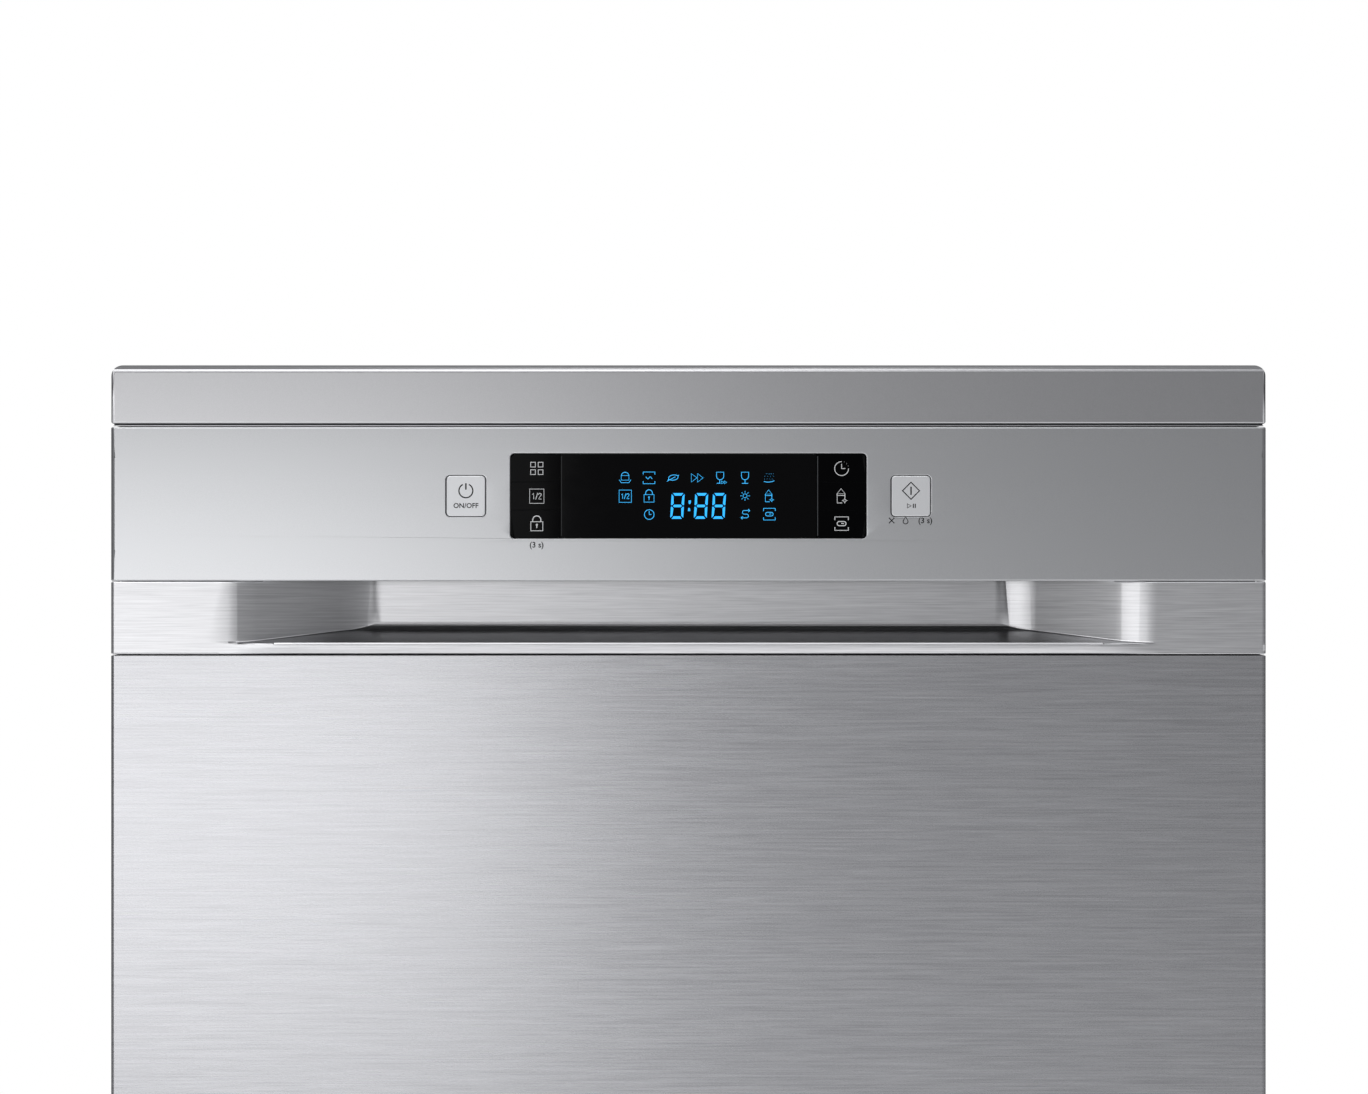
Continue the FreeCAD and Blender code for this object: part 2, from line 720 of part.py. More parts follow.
def wall_beads(radius):
    """Long stiffening beads pressed outwards into the tub's side walls."""
    beads = []
    x = tub_half_width - tub_wall - bead_inset
    for z in bead_heights:
        for s in (-1, 1):
            a, b = (s * x, bead_front, z), (s * x, bead_rear, z)
            beads += [rod(radius, a, b)] + [Part.makeSphere(radius, Vector(*end)) for end in (a, b)]
    return beads


def tub():
    outer = tub_solid(tub_wall, tub_front, tub_rear)
    cavity = tub_solid(0.0, tub_front - 5, tub_rear - tub_wall)
    fx = tub_half_width + tub_flange
    flange = slab_xz(
        -fx, fx, tub_floor - tub_flange_below, tub_top + seal_width, 8, tub_front, tub_front + sheet)
    shell = joined([outer, flange] + wall_beads(bead_radius + tub_wall))
    shell = shell.cut(joined([cavity] + wall_beads(bead_radius)))
    z0, z1 = tub_floor - 4, tub_floor + 2
    shell = shell.cut(rod(sump_radius, (0, sump_y, z0), (0, sump_y, z1)))
    shell = shell.cut(rod(salt_neck_radius + gap, (salt_x, salt_y, z0), (salt_x, salt_y, z1)))
    save("tub", shell)


def tub_seal():
    """Rubber profile all round the tub's mouth, below the ledges at the bottom."""
    y0, y1 = liner_face + gap, tub_front - gap
    x0 = tub_half_width + 0.5
    x1 = x0 + seal_width
    z0, z1 = tub_floor - 0.5 - seal_width, tub_top - 2 + seal_width
    outer = slab_xz(-x1, x1, z0, z1, 16, y0, y1)
    inner = slab_xz(-x0, x0, z0 + seal_width, z1 - seal_width, 16 - seal_width, y0 - 1, y1 + 1)
    ring_seal = outer.cut(inner)
    front_edges = [e for e in ring_seal.Edges if e.BoundBox.YLength < 0.01 and e.CenterOfMass.y < y0 + 0.01]
    save("tub_seal", ring_seal.makeFillet(2.0, front_edges))


def front_crossbar():
    """Steel channel over the tub's mouth, with the hook that the door's latch closes on."""
    x = side_outer - side_flange - gap
    y0, y1 = tub_front, tub_front + crossbar_depth
    z0, z1 = tub_top + seal_width + gap, cabinet_top - gap
    hook_y = liner_face - hook_reach
    save("front_crossbar", joined([
        box(-x, x, y0, y0 + crossbar_wall, z0, z1),
        box(-x, x, y0, y1, z1 - crossbar_wall, z1),
        box(-x, x, y1 - crossbar_wall, y1, tub_top + gap, z1),
        box(-hook_width / 2, hook_width / 2, hook_y, y0 + crossbar_wall, latch_z, latch_z + hook_thickness),
        box(-hook_width / 2, hook_width / 2, hook_y, hook_y + hook_thickness, latch_z - 4, latch_z + 1),
    ]))


# ---------------------------------------------------------------- water and power
def sump():
    """Sump under the tub's floor, its filters, and the post that the lower arm spins on."""
    top = tub_floor - tub_wall - 0.2
    bowl_radius, wall = sump_radius - 8, 4.0
    bowl_floor = 84.0
    well_radius, well_floor = filter_radius + 18, base_floor + base_wall + 17
    arm_top = lower_arm_bottom + arm_height
    here = (0, sump_y)
    at_filter = (filter_x, filter_y)
    collar = ring(sump_radius + 10, sump_radius - 14, (*here, top - 4), (*here, top))
    bowl = ring(bowl_radius, bowl_radius - wall, (*here, bowl_floor), (*here, top - 4))
    floor = rod(bowl_radius, (*here, bowl_floor), (*here, bowl_floor + wall))
    floor = floor.cut(rod(
        well_radius - wall, (*at_filter, bowl_floor - 1), (*at_filter, bowl_floor + wall + 1)))
    well = rod(well_radius, (*at_filter, well_floor), (*at_filter, bowl_floor)).cut(
        rod(well_radius - wall, (*at_filter, well_floor + wall), (*at_filter, bowl_floor + 1)))
    legs = [rod(7, (x, y, base_floor + base_wall + gap), (x, y, bowl_floor + 1))
            for x, y in ((-80, sump_y + 40), (20, sump_y + 85), (-30, sump_y - 85))]
    post_base = rod(24, (*here, bowl_floor + wall - 1), (*here, 130))
    post = rod(13, (*here, 129), (*here, lower_arm_bottom - run_gap))
    pin = rod(arm_pin_radius, (*here, 129), (*here, arm_top + run_gap + 4))
    cap = rod(12, (*here, arm_top + run_gap), (*here, arm_top + run_gap + 4))
    save("sump_housing", joined([collar, bowl, floor, well, post_base, post, pin, cap] + legs))
    plate_z = top + gap
    mesh = rod(sump_radius - gap, (*here, plate_z), (*here, plate_z + filter_plate_thickness))
    mesh = mesh.cut(rod(14, (*here, plate_z - 1), (*here, plate_z + 3)))
    mesh = mesh.cut(rod(filter_radius + 2, (*at_filter, plate_z - 1), (*at_filter, plate_z + 3)))
    save("filter_plate", mesh)
    lid_z = plate_z + filter_plate_thickness + gap
    z0, z1 = well_floor + wall + run_gap, lid_z + 2.5
    body = ring(filter_radius, filter_radius - 2.5, (*at_filter, z0), (*at_filter, z1 - 1))
    lid = rod(filter_radius + 6, (*at_filter, lid_z), (*at_filter, z1))
    bottom = rod(filter_radius, (*at_filter, z0), (*at_filter, z0 + 2.5))
    bridge = slab_xy(filter_x - 5, filter_x + 5, filter_y - 24, filter_y + 24, 4.5, z1 - 0.5, z1 + 8)
    save("filter_cylinder", joined([body, lid, bottom, bridge]))


def circulation_pump():
    y, z = sump_y - 70, pump_height
    rest = base_floor + base_wall + gap
    end = -half + pump_side_gap
    motor = rod(44, (-140, y, z), (end, y, z))
    motor = motor.makeFillet(6, [e for e in motor.Edges if e.BoundBox.XLength < 0.1])
    volute = rod(50, (-100, y, z), (-141, y, z))
    cradle = box(end + 18, -160, y - 30, y + 30, rest, z - 30)
    suction = rod(17, (-101, y, z), (-60, y, z))
    delivery = [
        rod(13, (-120, y + 30, z + 22), (-120, sump_y + 12, z + 22)),
        rod(13, (-120, sump_y, z + 22), (-80, sump_y, z + 22)),
    ]
    pump = joined([motor, volute, cradle, suction] + delivery)
    save("circulation_pump", pump.cut(rod(sump_radius - 8 + gap, (0, sump_y, 0), (0, sump_y, 200))))


def drain_pump():
    y, z = sump_y + 150, 66.0
    rest = base_floor + base_wall + gap
    drum = rod(27, (70, y, z), (150, y, z))
    drum = drum.makeFillet(4, [e for e in drum.Edges if e.BoundBox.XLength < 0.1])
    save("drain_pump", joined([
        drum,
        rod(20, (40, y, z), (76, y, z)),
        rod(9, (54, y, z), (54, y, z + 44)),
        box(80, 140, y - 20, y + 20, rest, z - 16),
    ]))


def softener():
    rest = base_floor + base_wall + gap
    tank_top, neck_top = 118.0, tub_floor + 3.0
    at = (salt_x, salt_y)
    tank = slab_xy(salt_x - 62, salt_x + 62, salt_y - 52, salt_y + 62, 18, rest, tank_top)
    neck = rod(salt_neck_radius, (*at, tank_top - 1), (*at, neck_top))
    bore = rod(salt_neck_radius - 5, (*at, tank_top - 6), (*at, neck_top + 1))
    chamber = slab_xy(salt_x - 58, salt_x + 58, salt_y - 48, salt_y + 58, 14, rest + 4, tank_top - 4)
    save("salt_container", joined([tank, neck]).cut(bore).cut(chamber))
    cap_z = neck_top + gap
    cap = rod(salt_neck_radius + 2, (*at, cap_z), (*at, cap_z + 6))
    plug = rod(salt_neck_radius - 5 - run_gap, (*at, cap_z - 14), (*at, cap_z + 1))
    grip = slab_xy(salt_x - 4, salt_x + 4, salt_y - 28, salt_y + 28, 3.5, cap_z + 5.5, cap_z + 12)
    save("salt_cap", joined([cap, plug, grip]))


def inlet_valve():
    """Electric water valve; its threaded end sticks out of the rear panel."""
    x, z = valve_x, connector_z
    back = cabinet_rear - sheet - gap
    rest = base_floor + base_wall + gap
    body = joined([
        box(x - 22, x + 22, back - 66, back - 8, z - 24, z + 20),
        rod(12, (x, back - 40, z + 19), (x, back - 40, z + 42)),
        rod(inlet_thread_radius + 3, (x, back - 9, z), (x, panel_back, z)),
        rod(inlet_thread_radius, (x, panel_back - 1, z), (x, rear, z)),
        box(x - 18, x + 18, back - 60, back - 20, rest, z - 23),
    ])
    save("inlet_valve", body.cut(rod(valve_bore, (x, back - 30, z), (x, rear + 1, z))))


def drain_outlet():
    """Spigot for the drain hose, on a block that stands in the base."""
    x, z = drain_x, connector_z
    back = cabinet_rear - sheet - gap
    body = joined([
        rod(drain_spigot_radius + 3, (x, back - 16, z), (x, panel_back, z)),
        rod(drain_spigot_radius, (x, panel_back - 1, z), (x, rear, z)),
        box(x - 16, x + 16, back - 30, back - 10, base_floor + base_wall + gap, z + 16),
    ])
    save("drain_outlet", body.cut(rod(drain_bore, (x, back - 31, z), (x, rear + 1, z))))


def mains_inlet():
    """Terminal block with the gland that a mains cable would enter by."""
    x, z = mains_x, connector_z
    back = cabinet_rear - sheet - gap
    body = joined([
        rod(gland_radius - gap, (x, back - 13, z), (x, panel_back + 1, z)),
        rod(gland_radius + 3, (x, panel_back + gap, z), (x, panel_back + 5, z)),
        rod(gland_radius - 1, (x, panel_back, z), (x, panel_back + 9, z)),
        box(x - 15, x + 15, back - 34, back - 12, base_floor + base_wall + gap, z + 14),
    ])
    save("mains_inlet", body.cut(rod(gland_bore_radius, (x, back - 20, z), (x, rear + 1, z))))


# ---------------------------------------------------------------- spray arms
def spray_arm(length, blade, hub, bottom, bore, y):
    """A flat two-bladed arm with a round hub and a row of slotted jets on each blade."""
    r = blade / 2
    top = bottom + arm_height
    face = top - 4
    tip = length / 2 - r
    shapes = [
        slab_xy(-length / 2, length / 2, y - r, y + r, r - 0.5, bottom, face),
        rod(hub, (0, y, bottom), (0, y, top)),
    ]
    slots = []
    for s in (-1, 1):
        for x in (s * tip * place for place in jet_places):
            cy = y + s * 6
            shapes.append(rod(3.2, (x, cy, face - 1), (x, cy, face + 1.5)))
            slots.append(box(x - 1.8, x + 1.8, cy - 0.6, cy + 0.6, face - 2, top))
    arm = joined(shapes).cut(Part.makeCompound(slots))
    return arm.cut(rod(bore, (0, y, bottom - 1), (0, y, top + 1)))


def spray_arms():
    bore = arm_pin_radius + run_gap
    for name, length, blade, hub, bottom in (
        ("lower_spray_arm", arm_length, arm_width, 24, lower_arm_bottom),
        ("upper_spray_arm", arm_length - upper_arm_shorter, arm_width - 4, 22, upper_arm_bottom),
        ("ceiling_spray_arm", ceiling_arm_length, arm_width - 12, 18, ceiling_arm_bottom),
    ):
        save(name, spray_arm(length, blade, hub, bottom, bore, sump_y))


def feed_duct():
    """Water pipe up the tub's rear wall and along its roof to the ceiling arm."""
    y0, y1 = duct_face, duct_face + duct_depth
    top = tub_top - tub_wall - gap
    roof = top - duct_roof
    half_duct = duct_width / 2
    corner = tub_rear_corner + gap
    profile = outline_yz([
        (y0, tub_floor + gap), (y1, tub_floor + gap), (y1, top - corner), (y1 - corner, top),
        (sump_y - 18, top), (sump_y - 18, roof), (y0 - 10, roof), (y0, roof - 10),
    ], -half_duct, half_duct)
    profile = profile.makeFillet(2.5, [
        e for e in profile.Edges
        if e.BoundBox.XLength < 0.01 and (e.CenterOfMass.y < y0 + 0.01 or e.CenterOfMass.z < roof + 0.01)])
    save("feed_duct", joined([
        profile,
        arm_post(ceiling_arm_bottom, roof + 1),
        rod(dock_radius, (0, y0 - dock_reach, dock_z), (0, y0 + 3, dock_z)),
    ]))


def arm_post(arm_bottom, top):
    """Pin that an arm hangs from, with a disc under the arm and a collar above it."""
    at = (0, sump_y)
    arm_top = arm_bottom + arm_height
    return joined([
        rod(arm_pin_radius, (*at, arm_bottom - 5), (*at, top)),
        rod(arm_pin_radius + 4, (*at, arm_bottom - 5), (*at, arm_bottom - run_gap)),
        rod(arm_pin_radius + 5, (*at, arm_top + run_gap), (*at, top)),
    ])


def upper_manifold():
    """Rides with the upper rack: carries water from the dock at the rear to the upper arm."""
    y_dock = duct_face - dock_reach - run_gap
    top = upper_floor - wire - gap
    low = upper_arm_bottom + arm_height + run_gap + 2
    save("upper_manifold", joined([
        box(-12, 12, sump_y, y_dock - 8, low, top),
        rod(dock_radius, (0, y_dock - 9, dock_z), (0, y_dock, dock_z)),
        arm_post(upper_arm_bottom, top),
    ]))


# ---------------------------------------------------------------- racks
def basket(half_x, floor, rim, rail):
    """Wires bent like a U both ways, a thick rim on their ends and a rail round the sides."""
    y0, y1, step = rack_front, rack_rear, 2 * wire - weld
    span_x, span_y = 2 * (half_x - wire_inset), y1 - y0 - 2 * wire_inset
    wires = []
    for i in range(wires_along):
        x = -half_x + wire_inset + span_x * i / (wires_along - 1)
        wires.append(bent_wire(
            [(x, y0, rim), (x, y0, floor), (x, y1, floor), (x, y1, rim)], wire, wire_bend))
    for j in range(wires_across):
        y = y0 + wire_inset + span_y * j / (wires_across - 1)
        z = floor + step
        wires.append(bent_wire(
            [(-half_x, y, rim), (-half_x, y, z), (half_x, y, z), (half_x, y, rim)], wire, wire_bend))
    for z, grow, radius in ((rim, 0.0, rim_wire), (rail, step, wire)):
        x, a, b = half_x + grow, y0 - grow, y1 + grow
        corners = [(-x, a, z), (x, a, z), (x, b, z), (-x, b, z)]
        wires.append(bent_wire(corners, radius, rim_bend + grow, True))
    return wires


def tine_rows(places, floor, tall, pitch):
    """Rows of pins that hold plates: a rail across the floor's wires, and one pin every pitch."""
    base = floor + 2 * (2 * wire - weld)
    y0, y1 = rack_front + tine_inset, rack_rear - tine_inset
    made = []
    for x in places:
        made.append(rod(wire, (x, y0, base), (x, y1, base)))
        for k in range(int((y1 - y0 - 12) / pitch) + 1):
            y = y0 + 6 + k * pitch
            made.append(rod(wire, (x, y, base), (x, y, base + tall)))
    return made


def wheel_bracket(side, y):
    """Plate clipped on the basket's side wires, with the axle that a wheel turns on."""
    inner, outer = rack_half_width + 0.6, rack_half_width + 5.6
    plate = side_box(side, inner, outer, y - 24, y + 24, wheel_z - 7, lower_floor + 34)
    plate = plate.makeFillet(6.5, edges_along(plate, X_AXIS))
    cap = wheel_inner + wheel_width + run_gap
    return [
        plate,
        rod(axle_radius + 3, (side * (outer - 1), y, wheel_z), (side * (wheel_inner - run_gap), y, wheel_z)),
        rod(axle_radius, (side * (outer - 1), y, wheel_z), (side * (cap + 2), y, wheel_z)),
        rod(axle_radius + 2, (side * cap, y, wheel_z), (side * (cap + 2), y, wheel_z)),
    ]


def lower_rack():
    pieces = basket(rack_half_width, lower_floor, lower_rim, lower_rail)
    pieces += tine_rows(lower_tines, lower_floor, lower_tine_height, lower_tine_pitch)
    for y in wheel_rows:
        for side in (-1, 1):
            pieces += wheel_bracket(side, y)
    save("lower_rack", pieces[0].multiFuse(pieces[1:]))


def wheels():
    names = ("wheel_front_left", "wheel_front_right", "wheel_rear_left", "wheel_rear_right")
    places = [(s, y) for y in wheel_rows for s in (-1, 1)]
    for name, (s, y) in zip(names, places):
        a, b = s * wheel_inner, s * (wheel_inner + wheel_width)
        wheel = rod(wheel_radius, (a, y, wheel_z), (b, y, wheel_z))
        wheel = wheel.makeFillet(1.5, end_edges(wheel))
        wheel = wheel.cut(rod(axle_radius + wheel_hub_gap, (a - s, y, wheel_z), (b + s, y, wheel_z)))
        dish = ring(
            wheel_radius - 3.5, axle_radius + 3.5, (b - s * 2.5, y, wheel_z), (b + s, y, wheel_z))
        save(name, wheel.cut(dish))


def upper_rack():
    pieces = basket(upper_half_width, upper_floor, upper_rim, upper_rail)
    pieces += tine_rows(upper_tines, upper_floor, upper_tine_height, upper_tine_pitch)
    # hangers that carry the basket on its slides
    for s in (-1, 1):
        for y in wheel_rows:
            pieces.append(side_box(
                s, upper_half_width + 0.6, slide_inner - gap, y - 18, y + 18, rail_z + 6, rail_z + 18))
    save("upper_rack", pieces[0].multiFuse(pieces[1:]))


def upper_slides():
    """A bar on each side of the upper rack, with a tongue that runs in the fixed rail."""
    y0, y1 = rail_y0, rail_y1 - 10
    tongue_low = rail_z + (rail_height - tongue_height) / 2
    slides = []
    for s in (-1, 1):
        bar = side_box(s, slide_inner, rail_inner - run_gap, y0, y1, rail_z, rail_z + rail_height)
        tongue = side_box(
            s, rail_inner - 1, rail_outer - tongue_inset, y0, y1, tongue_low, tongue_low + tongue_height)
        slides.append(joined([bar, tongue]))
    save("upper_slides", *slides)


def rack_rails():
    """Channels on the tub's walls: a deep pair for the upper rack, a slim pair for the tray."""
    made = []
    tongue_low = rail_z + (rail_height - tongue_height) / 2
    tray_inner = tray_half_width + 4
    for s in (-1, 1):
        rail = side_box(
            s, rail_inner, rail_outer, rail_y0, rail_y1, rail_z - 3, rail_z + rail_height + 3)
        made.append(rail.cut(side_box(
            s, rail_inner - 1, rail_outer - tongue_inset + run_gap, rail_y0 - 1, rail_y1 + 1,
            tongue_low - run_gap, tongue_low + tongue_height + run_gap)))
        rail = side_box(
            s, tray_inner, rail_outer, rail_y0, rail_y1, tray_rail_z - 4, tray_rail_z + tray_tongue + 4)
        made.append(rail.cut(side_box(
            s, tray_inner - 1, rail_outer - 8, rail_y0 - 1, rail_y1 + 1,
            tray_rail_z, tray_rail_z + tray_tongue)))
    save("rack_rails", *made)


def cutlery_tray():
    """A shallow moulded tray: slotted floor, two long dividers, combs for the cutlery."""
    x, y0, y1, t = tray_half_width, rack_front, rack_rear, tray_wall
    outer = slab_xy(-x, x, y0, y1, 18, tray_floor, tray_rim)
    inner = slab_xy(-x + t, x - t, y0 + t, y1 - t, 18 - t, tray_floor + t, tray_rim + 1)
    tray = outer.cut(inner)
    divider, pitch, bar = x / 3, 22.0, 6.0
    columns = ((-x + 12, -divider - 6), (-divider + 6, divider - 6), (divider + 6, x - 12))
    rows = [y0 + 18 + k * pitch for k in range(int((y1 - y0 - 30) / pitch))]
    slots = [
        box(a, b, y, y + pitch - bar, tray_floor - 1, tray_floor + t + 0.5)
        for a, b in columns for y in rows]
    tray = tray.cut(Part.makeCompound(slots))
    ribs = [box(c - 1.25, c + 1.25, y0 + 2, y1 - 2, tray_floor, tray_rim - 10) for c in (-divider, divider)]
    for a, b in (columns[0], columns[2]):
        for y in rows:
            for tooth in (a + 20, (a + b) / 2, b - 20):
                ribs.append(box(tooth - 1.2, tooth + 1.2, y - 4, y - 2, tray_floor + 1, tray_floor + 22))
    for s in (-1, 1):
        ribs.append(side_box(
            s, x - 1, rail_outer - 8.5, rail_y0 + 4, rail_y1 - 20,
            tray_rail_z + run_gap, tray_rail_z + tray_tongue - run_gap))
    tray = joined([tray] + ribs)
    opening = slab_xz(-60, 60, tray_rim - 22, tray_rim - 9, 6, y0 - 1, y0 + 4)
    save("cutlery_tray", tray.cut(opening))


# ---------------------------------------------------------------- controls
def button_places():
    return (("power_button", -button_offset), ("start_button", button_offset))


def key_places():
    """Name, left and right edge, bottom and top of each key beside the window."""
    columns = (
        (-1, ("program_key", "half_load_key", "lock_key")),
        (1, ("delay_key", "rinse_key", "tablet_key")),
    )
    found = []
    for side, names in columns:
        tall = window_height / len(names)
        for row, name in enumerate(names):
            top = window_top - row * tall
            a, b = sorted((side * window_half, side * (window_half - key_width)))
            found.append((name, a, b, top - tall, top))
    return found


def control_panel():
    t = fascia_thickness
    fascia = door_skin(fascia_bottom, fascia_top, t, True, False)
    lip = box(
        -half + t, half - t, front + t - 0.4, front + t + fascia_lip, fascia_bottom, fascia_bottom + 1.6)
    fascia = joined([fascia, lip])
    long_edges = edges_along(
        fascia, X_AXIS,
        lambda p: p.y < front + 0.01 and (p.z > fascia_top - 0.01 or p.z < fascia_bottom + 0.01))
    fascia = fascia.makeFillet(0.8, long_edges)
    x = window_half + gap
    opening = slab_xz(
        -x, x, window_bottom - gap, window_top + gap, window_corner, front - 1, front + t + 1)
    fascia = fascia.cut(opening)
    w, h = button_width / 2 + gap, button_height / 2 + gap
    for _, x in button_places():
        z = window_centre
        fascia = fascia.cut(slab_xz(
            x - w, x + w, z - h, z + h, window_corner + gap, front - 1, front + t + 1))
    save("control_panel", fascia.removeSplitter())


def key_cap(a, b, z0, z1):
    """A key beside the window; its outer corners follow the opening's."""
    outer_x = a if a < 0 else b
    low, high = z0 + key_gap, z1 - key_gap
    cap = box(a, b, front, front + key_thickness, low, high)
    ends = [z for z in (low, high) if z < window_bottom + 1 or z > window_top - 1]
    if not ends:
        return cap
    return cap.makeFillet(window_corner - gap, edges_along(
        cap, Y_AXIS, lambda p: abs(p.x - outer_x) < 0.1 and abs(p.z - ends[0]) < 0.1))


def keys():
    """The touch keys; returns where their stems are."""
    stems = []
    for name, a, b, z0, z1 in key_places():
        x, z = (a + b) / 2, (z0 + z1) / 2
        end = board_y - switch_height - key_travel - 0.2
        stem = rod(stem_radius, (x, front + key_thickness - 0.5, z), (x, end, z))
        save(name, key_cap(a, b, z0, z1).fuse(stem))
        stems.append((x, z))
    return stems


def buttons():
    """The power and start buttons; returns where their stems are."""
    w, h, z = button_width / 2, button_height / 2, window_centre
    y = front - button_proud
    stems = []
    for name, x in button_places():
        cap = slab_xz(x - w, x + w, z - h, z + h, window_corner, y, y + button_thickness)
        cap = cap.makeFillet(0.5, edges_at_y(cap, y))
        end = board_y - switch_height - button_travel - 0.2
        save(name, cap.fuse(rod(stem_radius, (x, y + button_thickness - 0.5, z), (x, end, z))))
        stems.append((x, z))
    return stems


def controls():
    x = window_half - key_width - key_gap
    window = box(-x, x, front, carrier_front - gap, window_bottom, window_top)
    save("display_window", window)
    stems = keys() + buttons()
    x, z0, z1 = button_offset + 16, finger_top + 2.0, fascia_top - 10
    back = board_y - gap
    carrier = box(-x, x, carrier_front, back, z0, z1).cut(
        box(-x + 2, x - 2, carrier_front + 1.6, back + 1, z0 + 2, z1 - 2))
    for cx, cz in stems:
        carrier = carrier.cut(
            rod(stem_radius + gap, (cx, carrier_front - 1, cz), (cx, carrier_front + 4, cz)))
    carrier = carrier.cut(box(
        -module_half, module_half, carrier_front - 1, carrier_front + 4, window_bottom + 3, window_top - 3))
    posts = [rod(3.5, (bx, carrier_front + 1, bz), (bx, back, bz))
             for bx in (-x + 8, x - 8) for bz in (z0 + 7, z1 - 7)]
    # ribs that reach the fascia's back
    for bx in (-x, x - 4):
        posts.append(box(bx, bx + 4, front + fascia_thickness + gap, carrier_front + 1, z0, z1))
    save("control_housing", joined([carrier] + posts))
    board = [
        box(-x + 1, x - 1, board_y, board_y + board_sheet, z0 + 1, z1 - 1),
        box(-module_half + 1, module_half - 1, carrier_front + 1.8, board_y + 0.2,
            window_bottom + 4, window_top - 4),
    ]
    for cx, cz in stems:
        board.append(box(cx - 3, cx + 3, board_y - switch_height, board_y + 0.2, cz - 3, cz + 3))
    for cx in (-95.0, -55.0, 95.0):
        board.append(box(cx - 14, cx + 14, board_y + board_sheet - 0.2, board_y + 9, z0 + 10, z0 + 28))
    save("control_board", joined(board))


# ---------------------------------------------------------------- door
def recess_outline(grow):
    """Plan of the hand recess: each side wall leaves the front and meets the back in one S curve."""
    y0, y1 = front, front + recess_depth + grow
    x_out, x_in = recess_half_width + grow, recess_floor_half + grow
    bend, straight = recess_wall_bend, recess_wall_run - 2 * recess_wall_bend
    # the two bends turn by the same angle, found so that they and the straight reach the back
    low, high = 0.0, math.pi / 2 - 0.1
    while high - low > 1e-9:
        turn = (low + high) / 2
        reached = 2 * bend * math.tan(turn / 2) + straight * math.tan(turn)
        low, high = (turn, high) if reached < y1 - y0 else (low, turn)
    radius = bend / math.sin(turn)
    side = radius * (1 - math.cos(turn))
    half_bend = (radius * math.sin(turn / 2), radius * (1 - math.cos(turn / 2)))
    edges = []
    for s in (-1, 1):
        a = Vector(s * x_out, y0, 0)
        b = Vector(s * (x_out - half_bend[0]), y0 + half_bend[1], 0)
        c = Vector(s * (x_out - bend), y0 + side, 0)
        d = Vector(s * (x_in + bend), y1 - side, 0)
        e = Vector(s * (x_in + half_bend[0]), y1 - half_bend[1], 0)
        f = Vector(s * x_in, y1, 0)
        edges += [Part.Arc(a, b, c).toShape(), Part.LineSegment(c, d).toShape(), Part.Arc(d, e, f).toShape()]
    edges.append(Part.LineSegment(Vector(-x_in, y1, 0), Vector(x_in, y1, 0)).toShape())
    edges.append(Part.LineSegment(Vector(-x_out, y0, 0), Vector(x_out, y0, 0)).toShape())
    return Part.Face(Part.Wire(Part.__sortEdges__(edges)))


def below_recess(grow):
    """Everything under the recess's floor, which climbs and then turns up into the back wall."""
    lip, back, radius = recess_lip - grow, front + recess_depth + grow, recess_floor_radius + grow
    climb = math.atan(recess_floor_rise / recess_depth)
    cy = back - radius
    cz = lip + math.tan(climb) * (cy - front) + radius / math.cos(climb)
    middle = (climb - math.pi / 2) / 2
    start = Vector(-half, front - 1, lip - math.tan(climb))
    meets = Vector(-half, cy + radius * math.sin(climb), cz - radius * math.cos(climb))
    bend = Vector(-half, cy + radius * math.cos(middle), cz + radius * math.sin(middle))
    wall = Vector(-half, back, cz)
    corners = [wall, Vector(-half, back + 20, cz), Vector(-half, back + 20, lip - 30),
               Vector(-half, front - 1, lip - 30), start]
    edges = [Part.LineSegment(start, meets).toShape(), Part.Arc(meets, bend, wall).toShape()]
    edges += [Part.LineSegment(a, b).toShape() for a, b in zip(corners, corners[1:])]
    return Part.Face(Part.Wire(Part.__sortEdges__(edges))).extrude(Vector(2 * half, 0, 0))


def recess_solid(grow):
    """The recess as a solid block."""
    z0, z1 = recess_lip - 4 - grow, finger_top + grow
    body = recess_outline(grow)
    body.translate(Vector(0, 0, z0))
    return body.extrude(Vector(0, 0, z1 - z0)).cut(below_recess(grow))


def handle_panel():
    """Pressed steel strip below the fascia, with the hand recess drawn into it."""
    top = fascia_bottom - gap
    skin = door_skin(band_bottom + seam / 2, top, sheet, False, True)
    clear_of_fascia = front + fascia_thickness + fascia_lip + gap
    cup = recess_solid(sheet).cut(box(-half, half, front - 1, clear_of_fascia, top, height))
    save("handle_panel", joined([skin, cup]).cut(recess_solid(0.0)).removeSplitter())


def door_panel():
    skin = door_skin(door_bottom, band_bottom - seam / 2, sheet, True, True)
    for side in (-1, 1):
        skin = skin.cut(side_box(
            side, bracket_x - 4, arm_x + 12, front + sheet + 0.5, skin_back + 1,
            door_bottom - 1, door_bottom + sheet + 0.5))
    save("door_outer_panel", skin)


